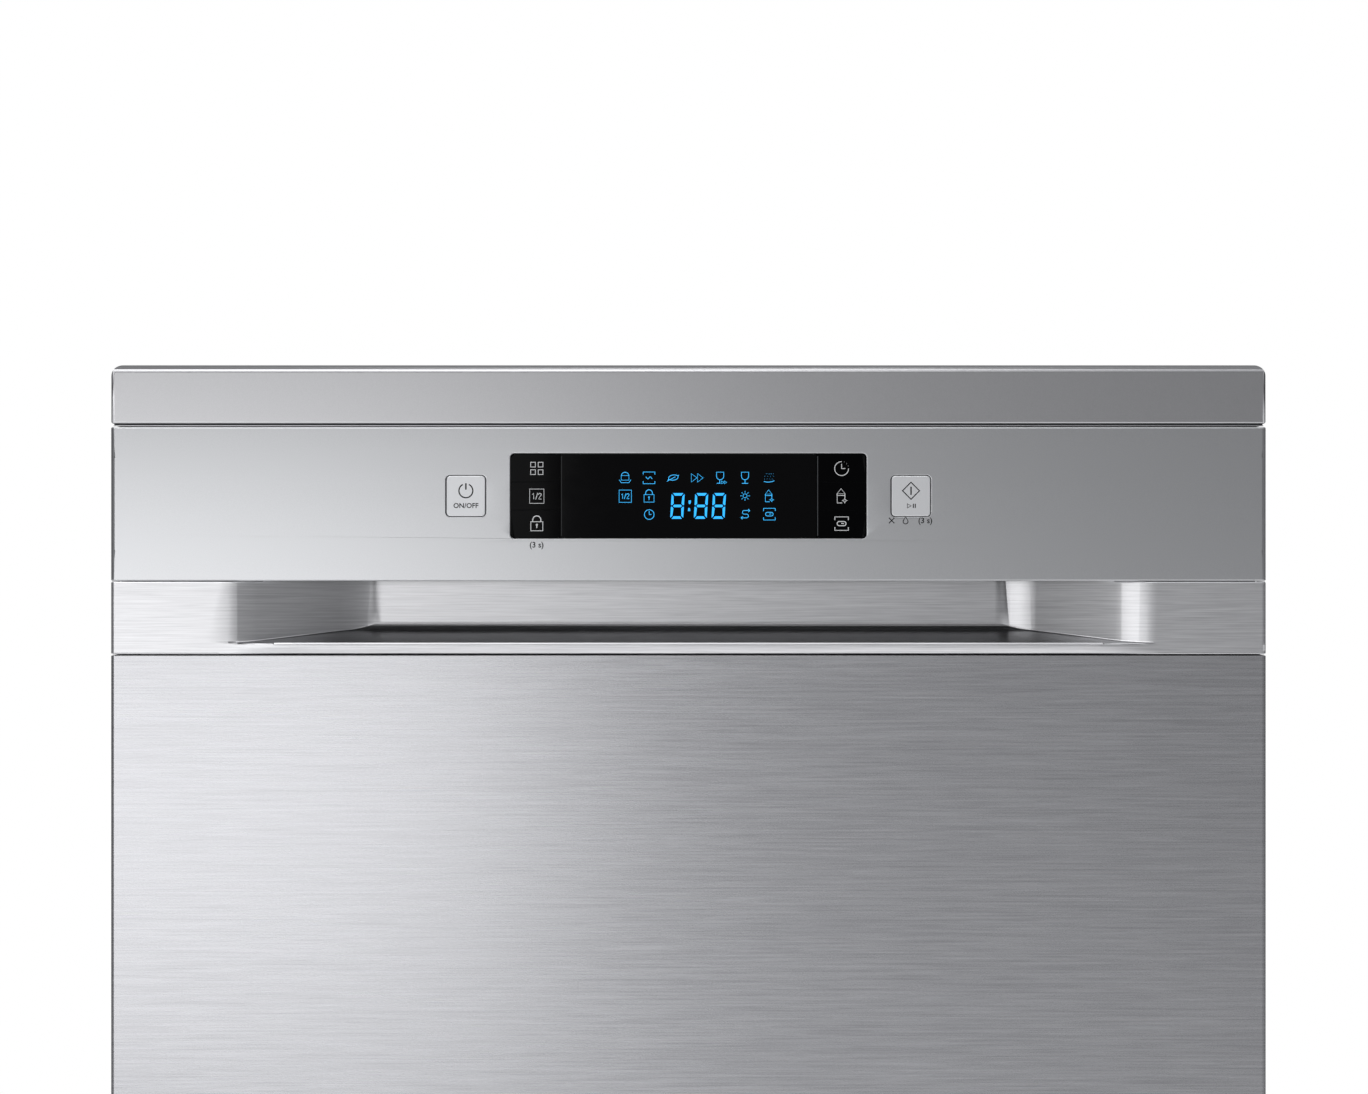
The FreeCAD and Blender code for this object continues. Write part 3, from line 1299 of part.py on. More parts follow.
def door_liner():
    """The door's inner face: a raised pan with a flat flange round it."""
    x, z0, z1 = liner_half, liner_bottom, liner_top - 3
    t, r = sheet, liner_corner
    pan = slab_xz(-x, x, z0, z1, r, liner_flange_back - t, liner_face)
    hollow = slab_xz(-x + t, x - t, z0 + t, z1 - t, r - t, liner_flange_back - t - 1, liner_front)
    flange = box(
        -half + sheet + gap, half - sheet - gap, liner_flange_back - t, liner_flange_back, z0, liner_top)
    flange = flange.cut(slab_xz(-x + t, x - t, z0 + t, z1 - t, r - t, skin_back - 1, liner_face))
    liner = joined([pan.cut(hollow), flange])
    ex, e0, e1, e = x - wheel_track, z0 + 44, z1 - 51, liner_emboss
    raised = slab_xz(-ex, ex, e0, e1, 30, liner_face - 0.2, liner_face + e)
    raised = raised.makeFillet(e - 0.2, edges_at_y(raised, liner_face + e))
    pressed = slab_xz(-ex + t, ex - t, e0 + t, e1 - t, 30 - t, liner_face - 3, liner_face + e - t)
    liner = liner.fuse(raised).cut(pressed)
    dx, dz = dispenser_width / 2 - 6, dispenser_height / 2 - 6
    liner = liner.cut(box(
        dispenser_x - dx, dispenser_x + dx, front, liner_face + 5, dispenser_z - dz, dispenser_z + dz))
    w = hook_width / 2 + 5
    liner = liner.cut(box(-w, w, front, liner_face + 5, latch_z - 9, z1 - t - 1))
    for side in (-1, 1):
        liner = liner.cut(side_box(
            side, bracket_x - 4, arm_x + 12, front, liner_face + 5, z0 - 1, hinge_height + 2))
    save("door_liner", liner.removeSplitter())


def dispenser():
    """Detergent chamber with a sliding lid, and a rinse-aid filler with a twist cap."""
    face = liner_face + liner_emboss + gap
    top = face + dispenser_flange
    x, z = dispenser_x, dispenser_z
    hw, hh = dispenser_width / 2, dispenser_height / 2
    plate = slab_xz(x - hw, x + hw, z - hh, z + hh, 12, face, top)
    plate = plate.makeFillet(1.2, edges_at_y(plate, top))
    body = box(x - hw + 8, x + hw - 8, face - dispenser_depth, face + 1, z - hh + 8, z + hh - 8)
    body = plate.fuse(body)
    cx, cz = x - 42, z + 28
    w, h = chamber_width / 2, chamber_height / 2
    body = body.cut(slab_xz(cx - w, cx + w, cz - h, cz + h, 10, face - dispenser_depth + 3, top + 1))
    # the lid runs in this sunken track, under a lip on each side
    lid_w, lid_h = w + lid_edge, h + lid_edge
    track_low, track_high = cz - lid_h - lid_travel - gap, cz + lid_h + gap
    lid_y = face + 0.9
    body = body.cut(box(
        cx - lid_w - gap, cx + lid_w + gap, lid_y - gap, lid_y + lid_thickness + gap, track_low, track_high))
    body = body.cut(slab_xz(
        cx - lid_w + 2.2, cx + lid_w - 2.2, track_low, track_high, 3, lid_y, top + 1))
    lid = slab_xz(cx - lid_w, cx + lid_w, cz - lid_h, cz + lid_h, 2.6, lid_y, lid_y + lid_thickness)
    grip = slab_xz(cx - 16, cx + 16, cz - lid_h + 4, cz - lid_h + 10, 2.5, lid_y + 1, top + 1.5)
    save("detergent_lid", lid.fuse(grip))
    rx, rz = x + 64, z + 24
    body = body.cut(rod(cap_radius + run_gap, (rx, face - 8, rz), (rx, top + 1, rz)))
    body = body.fuse(rod(5, (rx, face - 9, rz), (rx, face - 3.4 - run_gap, rz)))
    save("dispenser_housing", body.removeSplitter())
    cap = rod(cap_radius, (rx, face - 3.4, rz), (rx, top, rz))
    bar = slab_xz(rx - 3, rx + 3, rz - 16, rz + 16, 2.5, top - 0.5, top + 4)
    save("rinse_aid_cap", cap.fuse(bar))


def door_latch():
    """Latch in the door's head: a case with a mouth for the hook, and its microswitch."""
    y1 = liner_front - gap
    z = latch_z
    case = box(-26, 26, y1 - 25, y1, z - 19, z + 5)
    mouth = box(-hook_width / 2 - 2, hook_width / 2 + 2, y1 - 20, y1 + 1, z - 6.5, z + 6)
    switch = box(25, 40, y1 - 22, y1 - 6, z - 17, z - 2)
    ears = box(-40, 40, y1 - 2.5, y1, z - 19, z - 11)
    save("door_latch", joined([case, switch, ears]).cut(mouth))


def main():
    os.makedirs("parts", exist_ok=True)
    worktop()
    side_panels()
    screws = rear_panel() + kick_plate()
    save("cabinet_screws", *screws)
    base_tray()
    feet()
    bracket, arm = hinge_bracket(), hinge_arm()
    save("hinge_brackets", bracket, mirrored(bracket))
    save("hinge_arms", arm, mirrored(arm))
    tub()
    tub_seal()
    front_crossbar()
    sump()
    circulation_pump()
    drain_pump()
    softener()
    inlet_valve()
    drain_outlet()
    mains_inlet()
    spray_arms()
    feed_duct()
    upper_manifold()
    lower_rack()
    wheels()
    upper_rack()
    upper_slides()
    rack_rails()
    cutlery_tray()
    control_panel()
    controls()
    handle_panel()
    door_panel()
    door_liner()
    dispenser()
    door_latch()


main()
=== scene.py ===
import bpy
import json
import math
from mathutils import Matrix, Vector


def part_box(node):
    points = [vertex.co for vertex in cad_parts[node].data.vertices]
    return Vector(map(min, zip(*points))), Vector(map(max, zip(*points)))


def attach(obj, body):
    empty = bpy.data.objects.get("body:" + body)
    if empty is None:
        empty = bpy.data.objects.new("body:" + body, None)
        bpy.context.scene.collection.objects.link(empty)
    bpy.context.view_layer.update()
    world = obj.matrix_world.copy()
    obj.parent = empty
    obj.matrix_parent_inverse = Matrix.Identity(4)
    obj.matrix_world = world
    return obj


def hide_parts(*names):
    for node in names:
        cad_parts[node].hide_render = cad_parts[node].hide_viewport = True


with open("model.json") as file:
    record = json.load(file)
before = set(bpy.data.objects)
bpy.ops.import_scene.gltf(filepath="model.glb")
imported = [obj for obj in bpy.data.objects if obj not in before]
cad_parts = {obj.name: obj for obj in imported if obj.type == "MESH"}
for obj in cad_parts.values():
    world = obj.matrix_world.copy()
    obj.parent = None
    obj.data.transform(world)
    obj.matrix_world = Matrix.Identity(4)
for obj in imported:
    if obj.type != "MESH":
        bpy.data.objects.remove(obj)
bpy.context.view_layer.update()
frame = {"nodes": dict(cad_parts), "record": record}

nodes = frame["nodes"]
record = frame["record"]
bodyOfNode = {node: body for body, members in record["behaviour"]["bodies"].items() for node in members}
bpy.ops.object.select_all(action="DESELECT")


def mm(value):
    return value / 1000  # Blender works in metres


def paint(hexColour):
    # an sRGB colour, turned to the linear one that Blender's sockets hold
    linear = []
    for place in (1, 3, 5):
        level = int(hexColour[place:place + 2], 16) / 255
        linear.append(level / 12.92 if level <= 0.04045 else ((level + 0.055) / 1.055) ** 2.4)
    return (*linear, 1)


def addNode(tree, kind, values=None, links=None, **settings):
    node = tree.nodes.new(kind)
    for name, value in settings.items():
        setattr(node, name, value)
    for socket, value in (values or {}).items():
        node.inputs[socket].default_value = value
    for socket, source in (links or {}).items():
        tree.links.new(source, node.inputs[socket])
    return node


def newFinish(name, **surface):
    finish = bpy.data.materials.new(name)
    finish.use_nodes = True
    tree = finish.node_tree
    shader = tree.nodes["Principled BSDF"]
    for socket, value in surface.items():
        shader.inputs[socket.replace("_", " ")].default_value = value
    place = addNode(tree, "ShaderNodeTexCoord")
    return finish, tree, shader, place.outputs["Object"]


def grain(tree, place, size, detail):
    # noise whose cells measure size in mm along x, y and z
    mapped = addNode(tree, "ShaderNodeMapping", {"Scale": [1 / mm(side) for side in size]}, {"Vector": place})
    noise = addNode(tree, "ShaderNodeTexNoise", {"Scale": 1, "Detail": detail, "Roughness": 0.55},
                    {"Vector": mapped.outputs["Vector"]})
    return noise.outputs["Fac"]


noiseLow, noiseHigh = 0.3, 0.7  # nearly all of a noise lies between these


def between(tree, factor, low, high):
    # spreads the middle of a noise between two values
    spread = addNode(tree, "ShaderNodeMapRange",
                     {"From Min": noiseLow, "From Max": noiseHigh, "To Min": low, "To Max": high},
                     {"Value": factor})
    return spread.outputs["Result"]


def shades(tree, factor, dark, light):
    # spreads the middle of a noise between two colours
    ramp = addNode(tree, "ShaderNodeValToRGB", links={"Fac": factor})
    for stop, place, colour in zip(ramp.color_ramp.elements, (noiseLow, noiseHigh), (dark, light)):
        stop.position = place
        stop.color = paint(colour)
    return ramp.outputs["Color"]


def relief(tree, shader, factor, height):
    # height in mm
    bump = addNode(tree, "ShaderNodeBump", {"Strength": 1, "Distance": mm(height)}, {"Height": factor})
    tree.links.new(bump.outputs["Normal"], shader.inputs["Normal"])


def brushedSteel(name, dark, light, rough=(0.25, 0.29), height=0.003, stretch=0.5, long=(70, 0.5),
                 short=(24, 0.9)):
    # ferritic stainless sheet, belt brushed level with the floor and lacquered: long fine streaks, and
    # reflections that spread further up and down than sideways; long and short hold a streak's length and
    # height in mm, coarser than real scratches, which are too fine to show
    finish, tree, shader, place = newFinish(name, Metallic=1.0, Anisotropic=stretch,
                                            Anisotropic_Rotation=0.25)
    level = addNode(tree, "ShaderNodeTangent", direction_type="RADIAL", axis="Z")
    tree.links.new(level.outputs["Tangent"], shader.inputs["Tangent"])
    fine = grain(tree, place, (long[0], long[0], long[1]), detail=1)
    broad = grain(tree, place, (short[0], short[0], short[1]), detail=2)
    streaks = addNode(tree, "ShaderNodeMix", {"Factor": 0.45}, {"A": fine, "B": broad}).outputs["Result"]
    tree.links.new(shades(tree, streaks, dark, light), shader.inputs["Base Color"])
    tree.links.new(between(tree, streaks, *rough), shader.inputs["Roughness"])
    relief(tree, shader, streaks, height)
    return finish


def satinMetal(name, dark, light, rough=(0.3, 0.34), fleck=0.35):
    # metallic lacquer over steel: tiny flakes, no direction
    finish, tree, shader, place = newFinish(name, Metallic=1.0)
    flakes = grain(tree, place, (fleck, fleck, fleck), detail=1)
    tree.links.new(shades(tree, flakes, dark, light), shader.inputs["Base Color"])
    tree.links.new(between(tree, flakes, *rough), shader.inputs["Roughness"])
    return finish


def mouldedPlastic(name, dark, light, rough=(0.35, 0.5), fleck=0.6, height=0.02, gloss=1.46, shine=0.5):
    # injection moulded, spark eroded skin: an even fine texture, and clouds of shade a few centimetres wide
    finish, tree, shader, place = newFinish(name, IOR=gloss, Specular_IOR_Level=shine)
    texture = grain(tree, place, (fleck, fleck, fleck), detail=2)
    cloud = grain(tree, place, (45, 45, 45), detail=2)
    tree.links.new(shades(tree, cloud, dark, light), shader.inputs["Base Color"])
    tree.links.new(between(tree, texture, *rough), shader.inputs["Roughness"])
    relief(tree, shader, texture, height)
    return finish


def galvanisedSheet(name, frost=25 / 6):
    # hot dipped zinc: patches of frost a few millimetres wide, frost being that width
    finish, tree, shader, place = newFinish(name, Metallic=1.0)
    mapped = addNode(tree, "ShaderNodeMapping", {"Scale": [1 / mm(frost)] * 3}, {"Vector": place})
    patches = addNode(tree, "ShaderNodeTexVoronoi", {"Scale": 1}, {"Vector": mapped.outputs["Vector"]})
    level = addNode(tree, "ShaderNodeSeparateColor", links={"Color": patches.outputs["Color"]}).outputs["Red"]
    tree.links.new(shades(tree, level, "#ABAEB1", "#B9BCBE"), shader.inputs["Base Color"])
    tree.links.new(between(tree, level, 0.4, 0.48), shader.inputs["Roughness"])
    return finish


def laminate(name):
    # high pressure laminate: pale grey, faint mottling, hammered skin
    finish, tree, shader, place = newFinish(name, IOR=1.5)
    mottle = grain(tree, place, (5, 5, 5), detail=5)
    hammered = grain(tree, place, (1.4, 1.4, 1.4), detail=2)
    tree.links.new(shades(tree, mottle, "#D3D5D7", "#DCDEDF"), shader.inputs["Base Color"])
    tree.links.new(between(tree, hammered, 0.38, 0.52), shader.inputs["Roughness"])
    relief(tree, shader, hammered, 0.06)
    return finish


def glowing(name, hexColour, strength=0.86):
    # light through a printed mask behind the glass, a little uneven
    finish, tree, shader, place = newFinish(name, Roughness=0.4)
    shader.inputs["Base Color"].default_value = paint(hexColour)
    shader.inputs["Emission Color"].default_value = paint(hexColour)
    haze = grain(tree, place, (2.5, 2.5, 2.5), detail=1)
    tree.links.new(between(tree, haze, strength * 0.93, strength), shader.inputs["Emission Strength"])
    return finish


finishes = {
    "brushed_door": brushedSteel("brushed_stainless", "#BABABD", "#D1D1D4"),
    "satin_fascia": satinMetal("satin_fascia_steel", "#CFD0D2", "#D5D6D8", rough=(0.3, 0.33)),
    "satin_edge": satinMetal("satin_edge_metal", "#CACACC", "#D0D0D2", rough=(0.28, 0.32)),
    "worktop_laminate": laminate("worktop_laminate"),
    "cabinet_paint": satinMetal("silver_stoved_enamel", "#A9ACAF", "#B1B4B7", rough=(0.42, 0.5)),
    "galvanised": galvanisedSheet("galvanised_sheet"),
    "screw_zinc": satinMetal("zinc_plated_steel", "#B9BBBD", "#C9CBCC", rough=(0.25, 0.33)),
    "stainless_tub": brushedSteel("tub_stainless", "#BDBFC1", "#CBCDCF", rough=(0.24, 0.32)),
    "mirror_glass": mouldedPlastic("black_glass", "#020203", "#030304", rough=(0.05, 0.07), fleck=9,
                                   height=0.001, gloss=1.45, shine=0.16),
    "black_key": mouldedPlastic("black_key_acrylic", "#030304", "#040405", rough=(0.05, 0.07), fleck=9,
                                height=0.001, shine=0.06),
    "silver_button": satinMetal("silver_button_lacquer", "#E6E7E9", "#ECEDEF", rough=(0.42, 0.47),
                                fleck=0.25),
    "black_plastic": mouldedPlastic("black_polypropylene", "#17181A", "#1F2022", rough=(0.42, 0.56)),
    "circuit_board": mouldedPlastic("green_circuit_board", "#0F3B22", "#15492B", rough=(0.3, 0.4)),
    "white_plastic": mouldedPlastic("white_polypropylene", "#D9DAD6", "#E4E4E1"),
    "grey_plastic": mouldedPlastic("grey_polypropylene", "#8B9096", "#979CA1"),
    "pale_grey_plastic": mouldedPlastic("pale_grey_abs", "#B7BBBF", "#C3C7CA", rough=(0.3, 0.4)),
    "filter_steel": brushedSteel("filter_stainless", "#A9ABAD", "#BBBDBF", short=(10, 0.7)),
    "rack_coating": mouldedPlastic("rack_nylon_coating", "#9DA2A7", "#A9AEB2", rough=(0.25, 0.33), fleck=3,
                                   height=0.01),
    "rail_steel": brushedSteel("rail_stainless", "#B3B5B7", "#C2C4C6"),
    "seal_rubber": mouldedPlastic("seal_rubber", "#2B2D30", "#33353A", rough=(0.55, 0.7)),
}
print("finishes:", len(finishes))

slotOfNode = {}
for material in record["materials"]:
    for nodeName in material.get("nodes", []):
        slotOfNode[nodeName] = material["slot"]
for row in record["subparts"]:
    if row.get("material_slot"):
        slotOfNode[row["node"]] = row["material_slot"]
for nodeName, node in nodes.items():
    node.data.materials.clear()
    node.data.materials.append(finishes[slotOfNode[nodeName]])
print("nodes finished:", len(slotOfNode))


def makeOnly(piece):
    bpy.ops.object.select_all(action="DESELECT")
    piece.select_set(True)
    bpy.context.view_layer.objects.active = piece


def apply(piece, kind, **settings):
    makeOnly(piece)
    modifier = piece.modifiers.new(kind.title(), kind)
    for name, value in settings.items():
        setattr(modifier, name, value)
    bpy.ops.object.modifier_apply(modifier=modifier.name)


touching = mm(0.05)  # a point this near a face lies on it


def cut(piece, place, normal):
    # new edges all round the piece where a plane passes through it
    makeOnly(piece)
    bpy.ops.object.mode_set(mode="EDIT")
    bpy.ops.mesh.select_all(action="SELECT")
    bpy.ops.mesh.bisect(plane_co=place, plane_no=normal)
    bpy.ops.object.mode_set(mode="OBJECT")


def crown(piece, low, high, depth, rows=20):
    # bows the flat front of a box: it stays put along its low and high edges and stands proud between them
    height = high.z - low.z
    for row in range(1, rows):
        cut(piece, (0, 0, low.z + height * row / rows), (0, 0, 1))
    middle = (low.z + high.z) / 2
    for spot in piece.data.vertices:
        if spot.co.y < low.y + touching:
            spot.co.y -= depth * (1 - ((spot.co.z - middle) / (height / 2)) ** 2)


def ease(piece, width, test, steps=4):
    # rounds the edges whose two ends both pass the test
    makeOnly(piece)
    bpy.ops.object.mode_set(mode="EDIT")
    bpy.ops.mesh.select_mode(type="EDGE")
    bpy.ops.mesh.select_all(action="DESELECT")
    bpy.ops.object.mode_set(mode="OBJECT")
    spots = piece.data.vertices
    for line in piece.data.edges:
        line.select = all(test(spots[end].co) for end in line.vertices)
    bpy.ops.object.mode_set(mode="EDIT")
    bpy.ops.mesh.bevel(offset=width, segments=steps, affect="EDGES", clamp_overlap=False)
    bpy.ops.mesh.select_mode(type="VERT")
    bpy.ops.object.mode_set(mode="OBJECT")


merging = {"doubles": 0.002, "flat": 0.4, "sharp": 32}  # mm, degrees, degrees


def skin(nodeName, pieceName, sharp=merging["sharp"], edge=0, bow=0, flatten=False, finish=None, shape=None):
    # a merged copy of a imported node, its edges eased by edge mm and its front bowed by bow mm, that stands
    # for the node; flatten first joins the triangles of its flat faces
    piece = bpy.data.objects.new(pieceName, nodes[nodeName].data.copy())
    bpy.context.scene.collection.objects.link(piece)
    makeOnly(piece)
    bpy.ops.object.mode_set(mode="EDIT")
    bpy.ops.mesh.select_all(action="SELECT")
    bpy.ops.mesh.remove_doubles(threshold=mm(merging["doubles"]))
    if edge or flatten:
        bpy.ops.mesh.dissolve_limited(angle_limit=math.radians(merging["flat"]))
    bpy.ops.object.mode_set(mode="OBJECT")
    if bow:
        crown(piece, *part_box(nodeName), mm(bow))
    if shape:
        shape(piece)
    if edge:
        apply(piece, "BEVEL", width=mm(edge), segments=2, limit_method="ANGLE",
              angle_limit=math.radians(sharp), use_clamp_overlap=False)
    bpy.ops.object.shade_smooth_by_angle(angle=math.radians(sharp))
    apply(piece, "WEIGHTED_NORMAL", weight=100, keep_sharp=True)
    if finish:
        piece.data.materials[0] = finish
    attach(piece, bodyOfNode[nodeName])
    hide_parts(nodeName)


fascia = {"bow": 0.3, "topEase": 1.1, "bottomEase": 1.5}  # mm
fasciaLow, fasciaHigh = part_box("control_panel")


def easeFascia(piece):
    # the long edges above and below; those round the window and the keys are finer
    for level, width in ((fasciaHigh.z, fascia["topEase"]), (fasciaLow.z, fascia["bottomEase"])):
        ease(piece, mm(width),
             lambda spot: spot.y < fasciaLow.y + touching and abs(spot.z - level) < touching)


# the pressed band is the door's steel too, brushed again after drawing: duller, with coarser streaks; the
# floor of its hand recess gets a darker copy of that steel, painted shade for the shadow in the recess
drawnSteel = brushedSteel("drawn_stainless", "#D1D1D3", "#F2F2F4", rough=(0.32, 0.36), height=0.006,
                          stretch=0.2, long=(50, 0.45), short=(22, 0.8))
# painted shade: the band's steel made darker for the shadowed floor of the hand recess
recessShadeSteel = brushedSteel("recess_painted_shade_stainless", "#868688", "#9D9D9F", rough=(0.34, 0.38), height=0.006,
                           stretch=0.2, long=(60, 0.6), short=(26, 1.1))
recessFloor = {"low": 700, "high": 712, "halfWidth": 240, "behindFace": 0.3}  # mm
leastUpward = 0.3  # a floor face's normal rises at least this much
lip = {"low": 695.1, "high": 700.6, "near": 0.02, "radius": 9, "crest": 700.2, "proud": 0.45, "full": 205,
       "fade": 243}  # mm
lipRows, lipColumns = 7, 4  # where the lip is cut so that it can bend


def roundLip(piece, face):
    # turns the flat lip below the recess into part of a cylinder that stands proud at its crest, and lets
    # it flatten out sideways between full and fade
    low, high, near, radius, crest, proud, full, fade = [mm(value) for value in lip.values()]
    for row in range(lipRows + 1):
        cut(piece, (0, 0, low + (high - low) * row / lipRows), (0, 0, 1))
    for column in range(lipColumns + 1):
        place = full + (fade - full) * column / lipColumns
        for side in (1, -1):
            cut(piece, (place * side, 0, 0), (1, 0, 0))
    for spot in piece.data.vertices:
        if spot.co.y < face + near and low - near < spot.co.z < high + near:
            away = min(max((fade - abs(spot.co.x)) / (fade - full), 0), 1)
            share = away * away * (3 - 2 * away)  # no kink where the lip starts to flatten
            spot.co.y += share * (radius - math.sqrt(radius ** 2 - (spot.co.z - crest) ** 2) - proud)


def shapeBand(piece):
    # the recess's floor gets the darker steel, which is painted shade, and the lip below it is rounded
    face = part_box("handle_panel")[0].y
    piece.data.materials.append(recessShadeSteel)
    for side in piece.data.polygons:
        place = side.center
        level = mm(recessFloor["low"]) < place.z < mm(recessFloor["high"])
        within = abs(place.x) < mm(recessFloor["halfWidth"])
        behind = place.y > face + mm(recessFloor["behindFace"])
        if level and within and behind and side.normal.z > leastUpward:
            side.material_index = 1
    roundLip(piece, face)


frontSkins = {
    "worktop_trim": ("worktop_edge_band", dict(sharp=40)),
    "control_panel": ("fascia_panel", dict(edge=0.5, bow=fascia["bow"], shape=easeFascia)),
    "power_button": ("power_button_cap", {}),
    "start_button": ("start_button_cap", {}),
    "handle_panel": ("handle_band", dict(edge=0.8, finish=drawnSteel, shape=shapeBand)),
    "door_outer_panel": ("door_face", dict(edge=0.3)),
    "display_window": ("display_glass", dict(edge=0.25)),
}
for nodeName, (pieceName, how) in frontSkins.items():
    skin(nodeName, pieceName, **how)
print("front skins:", len(frontSkins))

smoothNodes = (
    "lower_rack upper_rack wheel_rear_right wheel_rear_left wheel_front_right wheel_front_left drain_pump "
    "circulation_pump tub sump_housing cutlery_tray rear_foot_right rear_foot_left front_foot_right "
    "front_foot_left cabinet_screws rear_panel base_tray tub_seal ceiling_spray_arm lower_spray_arm "
    "upper_spray_arm dispenser_housing control_housing door_liner filter_cylinder salt_container feed_duct "
    "salt_cap mains_inlet inlet_valve filter_plate hinge_brackets drain_outlet upper_manifold rinse_aid_cap "
    "hinge_arms kick_plate detergent_lid tablet_key program_key lock_key delay_key rinse_key half_load_key"
).split()
sheetNodes = ("kick_plate", "rear_panel", "door_liner", "base_tray")
for nodeName in smoothNodes:
    skin(nodeName, nodeName + "_skin", flatten=nodeName in sheetNodes)
print("smoothed skins:", len(smoothNodes))


def slab(name, bodyName, finish, low, high, eased=0.1):
    # a block between two corners in mm, its edges eased
    bpy.ops.mesh.primitive_cube_add(size=1, location=[mm((a + b) / 2) for a, b in zip(low, high)],
                                    scale=[mm(b - a) for a, b in zip(low, high)])
    piece = bpy.context.object
    piece.name = name
    bpy.ops.object.transform_apply(location=True, rotation=True, scale=True)
    apply(piece, "BEVEL", width=mm(eased), segments=2)
    piece.data.materials.append(finish)
    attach(piece, bodyName)


# a black strip in the gap below the worktop, painted shade for the dark gap, with a satin metal strip before
# it that stands for the reflection on the fascia's rounded top edge; and black sheets behind the fascia that
# darken the hand recess, painted shade
lightAndShadeStrips = {
    # painted shade and painted highlight: a black strip for the dark worktop gap, and a metal line for the
    # fascia edge's reflection
    "worktop_gap_shade_strip": ("cabinet", "seal_rubber", (-297.4, -297.6, 813.6), (297.4, -250, 814.5)),
    "worktop_gap_highlight_strip": ("cabinet", "satin_edge", (-297.8, -298.2, 813.35), (297.8, -297.6, 813.75)),
    # painted shade: black sheets behind the fascia that darken the hand recess
    "recess_shade_sheet_front": ("door", "seal_rubber", (-236, -292.3, 733.6), (236, -291.9, 750.5)),
    "recess_shade_sheet_top": ("door", "seal_rubber", (-236, -291.9, 750.2), (236, -270.5, 750.7)),
}
for name, (bodyName, finish, low, high) in lightAndShadeStrips.items():
    slab(name, bodyName, finishes[finish], low, high)
print("seals:", len(lightAndShadeStrips))


# the symbols are strokes, lists of points (x, z) in mm about the symbol's middle
def ring(x, z, radius, start=0, stop=360, steps=28):
    turns = [math.radians(start + (stop - start) * step / steps) for step in range(steps + 1)]
    return [(x + radius * math.cos(turn), z + radius * math.sin(turn)) for turn in turns]


def frameOf(x, z, width, height):
    left, right, low, high = x - width / 2, x + width / 2, z - height / 2, z + height / 2
    return [(left, low), (right, low), (right, high), (left, high), (left, low)]


def dots(places):
    return [[(x - 0.05, z), (x + 0.05, z)] for x, z in places]


def sized(strokes, size):
    return [[(x * size, z * size) for x, z in stroke] for stroke in strokes]


def padlock(size):
    body = [(-3.1, -3.7), (3.1, -3.7), (3.1, 1.0), (-3.1, 1.0), (-3.1, -3.7)]
    shackle = [(-2.1, 1.0)] + ring(0, 1.9, 2.1, 180, 0, 14) + [(2.1, 1.0)]
    keyhole = ring(0, -0.6, 0.35, 0, 360, 8)
    return sized([body, shackle, keyhole, [(0, -0.9), (0, -2.3)]], size)


def rinseBottle(size):
    cap = [(-2.1, 1.2), (0, 3.8), (2.1, 1.2), (-2.1, 1.2)]
    neck = [[(-2.0, 1.2), (-2.0, 0.3)], [(2.0, 1.2), (2.0, 0.3)]]
    body = [(2.0, 0.3), (-2.0, 0.3), (-2.0, -3.6), (0.6, -3.6)]
    side = [(2.0, 0.3), (2.0, -0.9)]
    sparkle = [(1.9, -1.0), (2.25, -2.0), (3.3, -2.35), (2.25, -2.7), (1.9, -3.7), (1.55, -2.7), (0.5, -2.35),
               (1.55, -2.0), (1.9, -1.0)]
    return sized([cap, *neck, body, side, sparkle], size)


def brackets(size, reach=1.5):
    top = [(-3.6, 3.6 - reach), (-3.6, 3.6), (3.6, 3.6), (3.6, 3.6 - reach)]
    return sized([[(x, z * side) for x, z in top] for side in (1, -1)], size)


def clockFace(radius):
    rim, gap = ring(0, 0, radius, 90, 360), dots(ring(0, 0, radius, 22, 68, 2))
    return [rim, *gap, [(0, radius * 0.68), (0, 0), (radius * 0.52, 0)]]


def goblet(size):
    bowl = [(-1.9, 3.0), (1.9, 3.0), (1.9, 0.9)] + ring(0, 0.9, 1.9, 0, -180, 12) + [(-1.9, 3.0)]
    return sized([bowl, [(0, -1.0), (0, -2.9)], [(-1.6, -2.9), (1.6, -2.9)]], size)


def half(size):
    two = [(0.9, 0.8)] + ring(1.6, 0.8, 0.7, 170, -10, 8) + [(0.85, -1.5), (2.4, -1.5)]
    figure = [[(-2.3, 0.8), (-1.6, 1.5), (-1.6, -1.5)], [(-0.6, -1.7), (0.5, 1.7)], two]
    return sized([frameOf(0, 0, 7.4, 7.4)] + figure, size)


def leaf(size):
    stem, tip = (-2.6, -1.3), (3.0, 1.5)
    edge = ring(0.6, -2.6, 4.2, 132, 62, 10)
    back = ring(-0.2, 2.9, 4.2, -48, -118, 10)
    return sized([[stem] + edge + [tip], [tip] + back + [stem], [(-3.3, -1.9), (1.3, 0.6)]], size)


def tablet(size):
    capsule = ring(1.2, 0, 1.1, -90, 90, 10) + ring(-1.2, 0, 1.1, 90, 270, 10)
    return sized([capsule + capsule[:1], [(-0.2, 0.1), (1.2, 0.1)]], size)


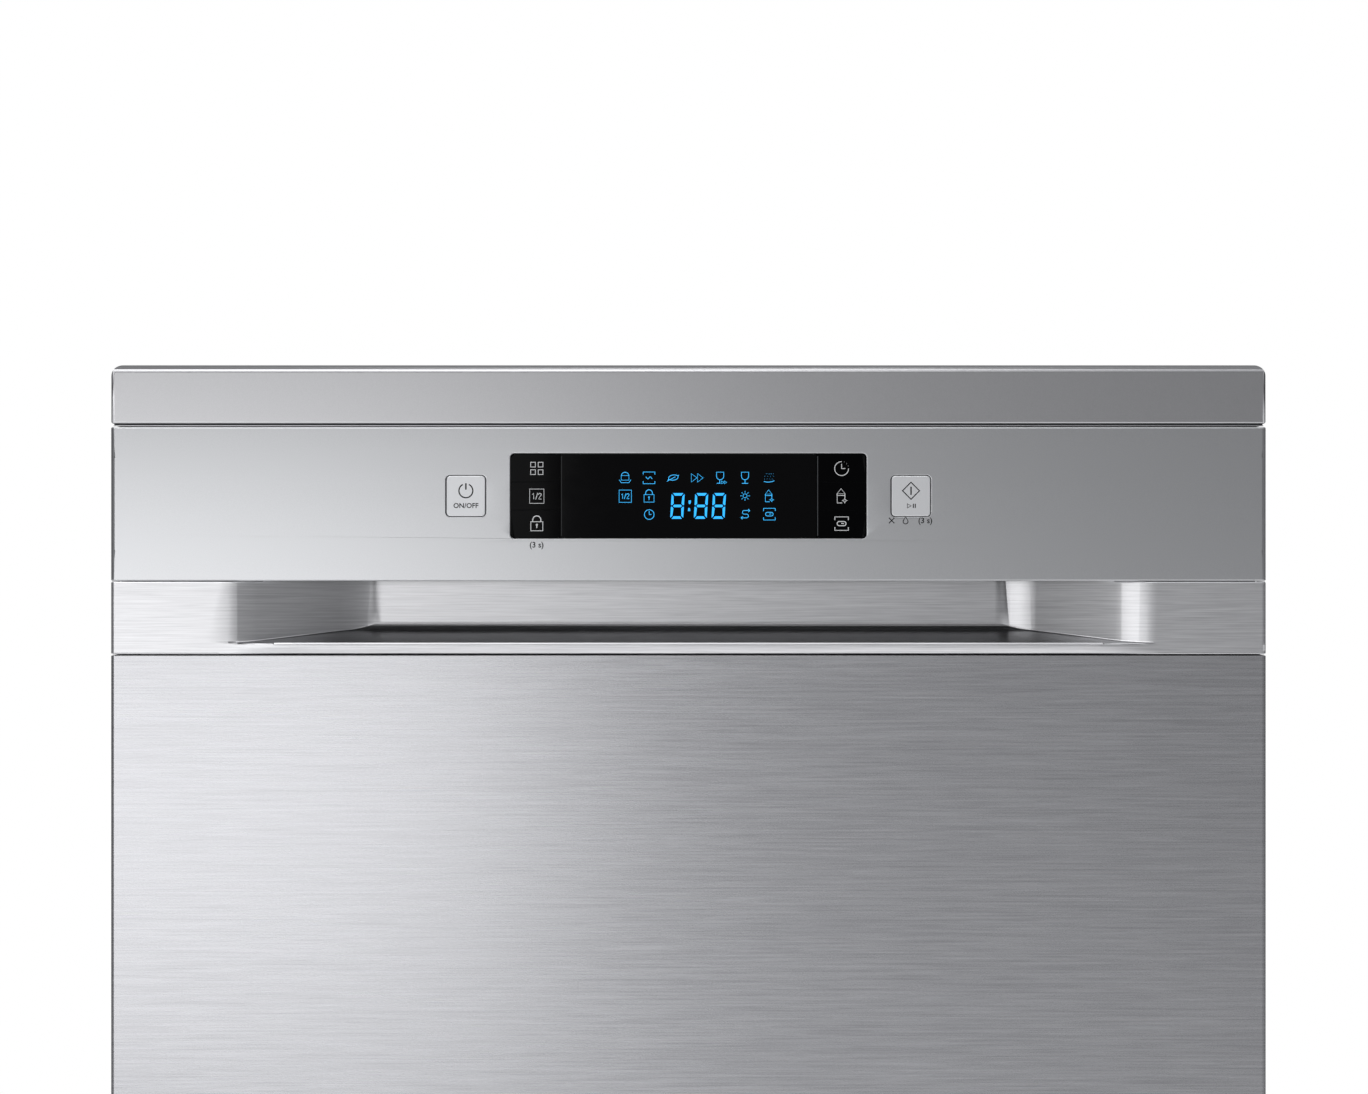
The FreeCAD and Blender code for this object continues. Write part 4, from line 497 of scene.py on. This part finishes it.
fourSquares = [frameOf(x, z, 2.45, 2.45) for x in (-1.95, 1.95) for z in (-1.95, 1.95)]
lid = [[(-2.0, 1.3)] + ring(0, 1.0, 2.0, 165, 15, 10) + [(2.0, 1.3)], [(-0.7, 2.9), (0.7, 2.9)]]
plate = [(-3.0, -0.9), (-2.0, -2.4), (2.0, -2.4), (3.0, -0.9)]
potOnPlate = [frameOf(0, 0.1, 4.0, 2.4), *lid, plate]
fastArrows = [[(x, 2.2), (x, -2.2), (x + 2.9, 0), (x, 2.2)] for x in (-3.0, 0.2)]
smallArrows = [[(x, -1.5), (x, -3.1), (x + 1.3, -2.3), (x, -1.5)] for x in (0.7, 2.1)]
shortGoblet = goblet(0.98)[:1] + [[(-0.2, -1.1), (-0.2, -2.8)], [(-1.7, -2.8), (0.2, -2.8)]]
sprayRows = {2.3: (-1.6, -0.7, 0.2, 1.1, 2.0), 1.0: (-2.4, -0.9, 0.6, 2.1), -0.4: (-2.6, -1.2, 0.2, 1.5)}
sprayPlate = dots([(x, z) for z, row in sprayRows.items() for x in row])
sprayPlate += [ring(-0.6, 5.2, 7.2, 252, 296, 10)]
rays = [math.radians(45 * step) for step in range(8)]
sun = [ring(0, 0, 1.05, 0, 360, 16)]
sun += [[(reach * math.cos(turn), reach * math.sin(turn)) for reach in (1.7, 2.5)] for turn in rays]
bend = [(2.2, 1.9), (0.0, 1.9)] + ring(-0.6, 0.95, 0.95, 90, 270, 8) + ring(0.6, -0.95, 0.95, 90, -90, 8)
arrowHeads = [[(1.4, 2.6), (2.3, 1.9), (1.5, 1.1)], [(-1.4, -1.1), (-2.3, -1.9), (-1.5, -2.6)]]
saltArrows = [bend + [(-2.2, -1.9)], *arrowHeads]
smallClock = [ring(0, 0, 2.5), [(0, 1.7), (0, 0), (1.1, 0)]]
wave = [[(x / 10, 0.55 * math.sin(x / 10 * 2.6)) for x in range(-17, 18, 2)]]


ink = {"thick": 0.06, "thin": 0.05}  # mm


def finishPrint(piece, finish, bodyName):
    piece.data.materials.clear()
    piece.data.materials.append(finish)
    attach(piece, bodyName)


def addRun(line, points, placed):
    # one more run of points for a curve; placed gives a point (x, z) its place there
    closed = points[0] == points[-1]
    points = points[:-1] if closed else points
    run = line.splines.new("POLY")
    run.points.add(len(points) - 1)
    run.use_cyclic_u = closed
    for spot, point in zip(run.points, points):
        spot.co = (*placed(*point), 1)


def meshOf(name, line):
    # the curve as a mesh object
    piece = bpy.data.objects.new(name, line)
    bpy.context.scene.collection.objects.link(piece)
    makeOnly(piece)
    bpy.ops.object.convert(target="MESH")
    return bpy.context.object


def marks(name, bodyName, finish, strokes, place, face, stroke, thick=ink["thick"]):
    # strokes about a place (x, z) in mm on a front face at y = face, printed thick mm deep
    line = bpy.data.curves.new(name, "CURVE")
    line.dimensions = "3D"
    line.bevel_depth = mm(stroke / 2)
    line.bevel_resolution = 1
    line.use_fill_caps = True
    for points in strokes:
        addRun(line, points, lambda x, z: (mm(place[0] + x), 0, mm(place[1] + z)))
    piece = meshOf(name, line)
    bpy.ops.object.mode_set(mode="EDIT")
    bpy.ops.mesh.select_all(action="SELECT")
    bpy.ops.transform.resize(value=(1, thick / stroke, 1), center_override=(0, 0, 0))
    bpy.ops.transform.translate(value=(0, face, 0))
    bpy.ops.mesh.normals_make_consistent(inside=False)
    bpy.ops.object.mode_set(mode="OBJECT")
    finishPrint(piece, finish, bodyName)


def lettering(name, bodyName, finish, text, place, face, height, turn=0):
    # plain letters and numbers, their middle at a place (x, z) in mm on a front face; turn 180 is for a
    # rear face
    bpy.ops.object.text_add(location=(0, 0, 0))
    line = bpy.context.object
    line.name = name
    line.data.body = text
    line.data.align_x, line.data.align_y = "CENTER", "CENTER"
    line.data.size = mm(height / 0.7)  # a capital is 0.7 of the size
    line.data.extrude = mm(ink["thin"] / 2)
    line.data.offset = mm(0.06)  # a bolder stroke
    line.data.resolution_u = 3
    bpy.ops.object.convert(target="MESH")
    line = bpy.context.object
    line.rotation_euler = (math.radians(90), 0, math.radians(turn))
    line.location = (mm(place[0]), face, mm(place[1]))
    bpy.ops.object.transform_apply(location=True, rotation=True, scale=True)
    finishPrint(line, finish, bodyName)


keyPrint = mouldedPlastic("grey_screen_ink", "#DCDDDE", "#E4E5E6", rough=(0.45, 0.55), fleck=0.5,
                          height=0.004)
darkPrint = mouldedPlastic("dark_pad_print_ink", "#0C0C0E", "#121214", rough=(0.55, 0.65), fleck=0.5,
                           height=0.004, shine=0.1)
litPrint = glowing("blue_led_mask", "#2FA8E8")
digitPrint = glowing("blue_led_segment", "#22A6F2")
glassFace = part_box("display_window")[0].y
fasciaFace = fasciaLow.y - mm(fascia["bow"])
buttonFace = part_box("power_button")[0].y

keyMarks = {
    "program_key": (fourSquares, (-78.5, 791.5), 0.55),
    "half_load_key": (half(1.0), (-78.5, 777.1), 0.42),
    "lock_key": (padlock(1.0), (-78.5, 762.9), 0.55),
    "delay_key": (clockFace(3.6), (79.3, 791.4), 0.47),
    "rinse_key": (rinseBottle(1.0), (79.0, 777.2), 0.46),
    "tablet_key": (brackets(0.97, 1.7) + tablet(1.0), (79.3, 762.9), 0.5),
}
for key, (strokes, place, stroke) in keyMarks.items():
    marks(key + "_mark", bodyOfNode[key], keyPrint, strokes, place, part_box(key)[0].y, stroke)

litStroke = 0.36
litMarks = {
    "pot": (potOnPlate, (-32.8, 786.5), 0.32),
    "automatic": (brackets(0.84) + wave, (-20.4, 786.6), litStroke),
    "saving": (leaf(0.95), (-8.0, 786.6), litStroke),
    "fast": (fastArrows, (4.5, 786.6), litStroke),
    "glass_fast": (shortGoblet + smallArrows, (16.4, 786.6), litStroke),
    "glass": (goblet(0.98), (29.3, 786.6), litStroke),
    "soak": (sprayPlate, (41.9, 786.4), litStroke),
    "half": (half(0.86), (-32.7, 777.1), litStroke),
    "locked": (padlock(0.83), (-20.4, 777.1), litStroke),
    "dry": (sun, (29.3, 777.3), 0.3),
    "rinse_low": (rinseBottle(0.83), (41.5, 777.2), litStroke),
    "delay": (smallClock, (-20.3, 767.6), litStroke),
    "salt_low": (saltArrows, (29.5, 767.8), litStroke),
    "tablet": (brackets(0.84, 1.6) + tablet(0.86), (41.9, 767.8), litStroke),
}
for symbol, (strokes, place, stroke) in litMarks.items():
    marks("lit_" + symbol, "door", litPrint, strokes, place, glassFace, stroke)

rhombus = [(0, 4.4), (4.4, 0), (0, -4.4), (-4.4, 0), (0, 4.4)]
play = [(-1.9, -1.1), (-1.9, 1.1), (0.1, 0), (-1.9, -1.1)]
buttonMarks = {
    "power_mark": ("power_button", [ring(0, 0, 3.6, 116, 424), [(0, 3.9), (0, 0.6)]], (-115.2, 779.9), 0.75),
    "start_mark": ("start_button", [rhombus, [(0, 2.1), (0, -2.1)]], (115.2, 779.9), 0.75),
    "start_pause_mark": ("start_button", [play, [(1.2, -1.1), (1.2, 1.1)], [(2.2, -1.1), (2.2, 1.1)]],
                         (115.2, 772.1), 0.55),
}
for name, (bodyName, strokes, place, stroke) in buttonMarks.items():
    marks(name, bodyName, darkPrint, strokes, place, buttonFace, stroke, ink["thin"])

words = {
    "power_words": ("power_button", "ON/OFF", (-115.2, 772.1), buttonFace, 2.5),
    "key_hold_time": ("door", "(3 s)", (-78.6, 751.8), fasciaFace, 2.9),
    "start_hold_time": ("door", "(3 s)", (122.6, 764.4), fasciaFace, 2.9),
}
for name, (bodyName, text, place, face, height) in words.items():
    lettering(name, bodyName, darkPrint, text, place, face, height)

cross = [[(-1.4, -1.4), (1.4, 1.4)], [(-1.4, 1.4), (1.4, -1.4)]]
drop = [[(0, 2.0)] + ring(0, -0.5, 1.25, 25, -205, 14) + [(0, 2.0)]]
fasciaMarks = {"cancel_mark": (cross, (105.2, 764.5), 0.55), "drain_mark": (drop, (112.4, 764.5), 0.5)}
for name, (strokes, place, stroke) in fasciaMarks.items():
    marks(name, "door", darkPrint, strokes, place, fasciaFace, stroke)

# the rinse aid dial inside the door: numbers 1 to 6 round the cap, and the cap's own mark
dial = {"numbers": 6, "start": 150, "step": 24, "reach": 24, "height": 3.6}  # degrees, mm
pointer = {"from": 12, "to": 18, "halfWidth": 0.6, "sunk": 0.02, "proud": 0.05, "eased": 0.02}
dialMiddle = sum(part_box("rinse_aid_cap"), Vector()) / 2 / mm(1)
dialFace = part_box("dispenser_housing")[1].y / mm(1)
for number in range(1, dial["numbers"] + 1):
    turn = math.radians(dial["start"] - dial["step"] * number)
    place = (dialMiddle.x - dial["reach"] * math.cos(turn), dialMiddle.z + dial["reach"] * math.sin(turn))
    lettering("dial_number_%d" % number, "door", darkPrint, str(number), place, mm(dialFace),
              dial["height"], 180)
slab("dial_pointer", "rinse_aid_cap", darkPrint,
     (dialMiddle.x - pointer["halfWidth"], dialFace - pointer["sunk"], dialMiddle.z + pointer["from"]),
     (dialMiddle.x + pointer["halfWidth"], dialFace + pointer["proud"], dialMiddle.z + pointer["to"]),
     pointer["eased"])

# the edges of the mask behind the glass, right and left of the lit symbols
windowLine = mouldedPlastic("dark_grey_mask", "#36373A", "#3C3D40", rough=(0.4, 0.5), fleck=0.5, height=0.003)
faintLine = mouldedPlastic("black_mask_edge", "#1A1B1D", "#202124", rough=(0.4, 0.5), fleck=0.5, height=0.003)
maskEdge = [[(0, -20.6), (0, 20.6)]]
maskEdges = {
    "window_right_line": (windowLine, (66.9, 777.2), 0.55),
    "window_left_line": (faintLine, (-65.7, 777.2), 0.5),
}
for name, (finish, place, stroke) in maskEdges.items():
    marks(name, "door", finish, maskEdge, place, glassFace, stroke, ink["thin"])


def filled(name, shapes):
    # closed outlines in mm on the glass, filled and given a thickness
    area = bpy.data.curves.new(name, "CURVE")
    area.dimensions = "2D"
    area.fill_mode = "BOTH"
    area.extrude = mm(ink["thick"] / 2)
    for points in shapes:
        addRun(area, points + points[:1], lambda x, z: (mm(x), mm(z), 0))
    piece = meshOf(name, area)
    piece.rotation_euler = (math.radians(90), 0, 0)
    piece.location = (0, glassFace, 0)
    bpy.ops.object.transform_apply(location=True, rotation=True, scale=True)
    finishPrint(piece, digitPrint, "door")


digits = {"height": 13.3, "width": 6.7, "bar": 1.3, "gap": 0.34, "middle": 772.05,
          "centres": (-5.7, 6.5, 15.7)}  # mm
lean = 0.06  # how far a digit leans over, as a share of its height


def digit(name, centre):
    # seven slanted segments with mitred ends: two level, one in the middle and four upright
    edge, end, bar, gap = digits["width"] / 2, digits["height"] / 2, digits["bar"], digits["gap"]
    inner = edge - bar
    level = [(-edge + gap + 0.35, end), (edge - gap - 0.35, end), (inner - gap, end - bar),
             (-inner + gap, end - bar)]
    upright = [(-edge, end - 0.5), (-edge + bar * 0.8, end - bar - gap), (-inner, bar / 2 + gap + 0.2),
               (-edge + 0.45, gap), (-edge, 0.5)]
    middle = [(-edge + gap + 0.7, 0), (-inner + 0.3, bar / 2), (inner - 0.3, bar / 2), (edge - gap - 0.7, 0),
              (inner - 0.3, -bar / 2), (-inner + 0.3, -bar / 2)]
    shapes = [level, [(x, -z) for x, z in level], middle]
    shapes += [[(x * side, z * half) for x, z in upright] for side in (1, -1) for half in (1, -1)]
    filled(name, [[(centre + x + z * lean, digits["middle"] + z) for x, z in shape] for shape in shapes])


for place, centre in enumerate(digits["centres"]):
    digit("lit_digit_%d" % place, centre)
colon = [[(0.05, 774.9), (1.35, 774.9), (1.15, 773.4), (0.5, 772.9), (0.1, 773.4)],
         [(-0.3, 769.4), (1.0, 769.4), (0.75, 770.7), (0.35, 771.2), (-0.15, 770.7)]]
filled("lit_colon", colon)


floorLook = {"reach": 3.0, "fadeFrom": 1.3, "fadeTo": 2.6, "colour": "#F2F2F2", "glow": 0.28}  # m
bpy.ops.mesh.primitive_circle_add(vertices=96, radius=floorLook["reach"], fill_type="NGON")
floor = bpy.context.object
floor.name = "studio_floor"
floorPaint, tree, shader, place = newFinish("floor_vinyl", Roughness=0.6)
shader.inputs["Base Color"].default_value = paint(floorLook["colour"])
shader.inputs["Emission Color"].default_value = paint("#FFFFFF")
shader.inputs["Emission Strength"].default_value = floorLook["glow"]
away = addNode(tree, "ShaderNodeVectorMath", links={0: place}, operation="LENGTH")
fade = addNode(tree, "ShaderNodeMapRange",
               {"From Min": floorLook["fadeFrom"], "From Max": floorLook["fadeTo"]},
               {"Value": away.outputs["Value"]}, interpolation_type="SMOOTHSTEP")
clear = addNode(tree, "ShaderNodeBsdfTransparent")
mixed = addNode(tree, "ShaderNodeMixShader", links={0: fade.outputs["Result"], 1: shader.outputs["BSDF"],
                                                    2: clear.outputs["BSDF"]})
tree.links.new(mixed.outputs["Shader"], tree.nodes["Material Output"].inputs["Surface"])
floor.data.materials.append(floorPaint)

# the studio's wall, a dome for metal to reflect: pale near the floor, grey at eye level, darker above that,
# towards the back and on both sides, with a pale ceiling that darkens towards the back
wallReach = 6.0
wallTones = {  # the axis, from where to where along it (-1 to 1), and the brightness or share at both ends
    "up from the floor": ("Z", -0.24, 0.1, 0.78, 0.31),
    "above eye level": ("Z", 0.1, 0.26, 1, 0.19 / 0.31),
    "towards the back": ("Y", -0.3, 0.6, 1, 0.35),
    "towards the right": ("X", 0.06, 0.2, 1, 0.62),
    "in from the left": ("X", -0.75, -0.45, 0.5, 1),
}
ceilingEdge = ("Z", 0.42, 0.6, 0, 1)
ceilingTone = ("Y", 0.25, 0.7, 0.55, 0.3)
bpy.ops.mesh.primitive_uv_sphere_add(segments=48, ring_count=24, radius=wallReach)
wall = bpy.context.object
wall.name = "studio_wall"
wall.visible_camera = False
wallPaint, tree, shader, place = newFinish("grey_studio_wall", Roughness=1.0)
aim = addNode(tree, "ShaderNodeVectorMath", links={0: place}, operation="NORMALIZE")
axes = addNode(tree, "ShaderNodeSeparateXYZ", links={"Vector": aim.outputs["Vector"]})


def toneAlong(axis, start, stop, first, last):
    tone = addNode(tree, "ShaderNodeMapRange",
                   {"From Min": start, "From Max": stop, "To Min": first, "To Max": last},
                   {"Value": axes.outputs[axis]})
    return tone.outputs["Result"]


glow, *shares = [toneAlong(*tone) for tone in wallTones.values()]
for share in shares:
    glow = addNode(tree, "ShaderNodeMath", links={0: glow, 1: share}, operation="MULTIPLY").outputs["Value"]
glow = addNode(tree, "ShaderNodeMix",
               links={0: toneAlong(*ceilingEdge), 2: glow, 3: toneAlong(*ceilingTone)}).outputs["Result"]
shader.inputs["Base Color"].default_value = paint("#000000")
shader.inputs["Emission Color"].default_value = paint("#FBFCFF")
tree.links.new(glow, shader.inputs["Emission Strength"])
wallPaint.cycles.emission_sampling = "NONE"
wall.data.materials.append(wallPaint)

# a grey room lights the rest; plain white where the camera, metal or glass looks past the studio
world = bpy.data.worlds.new("studio")
bpy.context.scene.world = world
world.use_nodes = True
tree = world.node_tree
room = tree.nodes["Background"]
room.inputs["Color"].default_value = paint("#9A9C9F")
room.inputs["Strength"].default_value = 1
white = addNode(tree, "ShaderNodeBackground", {"Color": (1, 1, 1, 1), "Strength": 1})
path = addNode(tree, "ShaderNodeLightPath")
seen = path.outputs["Is Camera Ray"]
for kind in ("Is Glossy Ray", "Is Transmission Ray"):
    seen = addNode(tree, "ShaderNodeMath", links={0: seen, 1: path.outputs[kind]},
                   operation="MAXIMUM").outputs["Value"]
mixed = addNode(tree, "ShaderNodeMixShader", links={0: seen, 1: room.outputs["Background"],
                                                    2: white.outputs["Background"]})
tree.links.new(mixed.outputs["Shader"], tree.nodes["World Output"].inputs["Surface"])
print("studio built")

softboxes = {  # m; brightness is what a mirror would see, 1 being white
    "key_softbox": dict(place=(-0.56, -1.81, 0.6), target=(0.216, -0.39, 0.6), width=1.02, height=0.54,
                        brightness=1.5),
    "front_bank": dict(place=(-0.45, -1.45, 2.1), target=(-0.1, -0.3, 0.8), width=1.3, height=1.4,
                       brightness=1.7),
    "top_softbox": dict(place=(0, 0.1, 2.6), target=(0, 0, 0.8), width=1.6, height=1.2, brightness=1.2),
}


def softbox(name, place, target, width, height, brightness):
    bpy.ops.object.light_add(type="AREA", location=place)
    lamp = bpy.context.object
    lamp.name = name
    lamp.data.shape = "RECTANGLE"
    lamp.data.size, lamp.data.size_y = width, height
    lamp.data.energy = brightness * width * height * math.pi
    lamp.rotation_euler = (Vector(target) - Vector(place)).to_track_quat("-Z", "Y").to_euler()
    lamp.visible_camera = False


for name, how in softboxes.items():
    softbox(name, **how)
print("lights set:", len(softboxes))

viewpoint = {"place": (-0.0023, -3.2994, 0.7508), "lens": 152.5, "sensor": 36}  # level, square to the front
bpy.ops.object.camera_add(location=viewpoint["place"], rotation=(math.radians(90), 0, 0))
camera = bpy.context.object
camera.data.lens = viewpoint["lens"]
camera.data.sensor_width = viewpoint["sensor"]
bpy.context.scene.camera = camera
bpy.context.scene.view_settings.view_transform = "Standard"
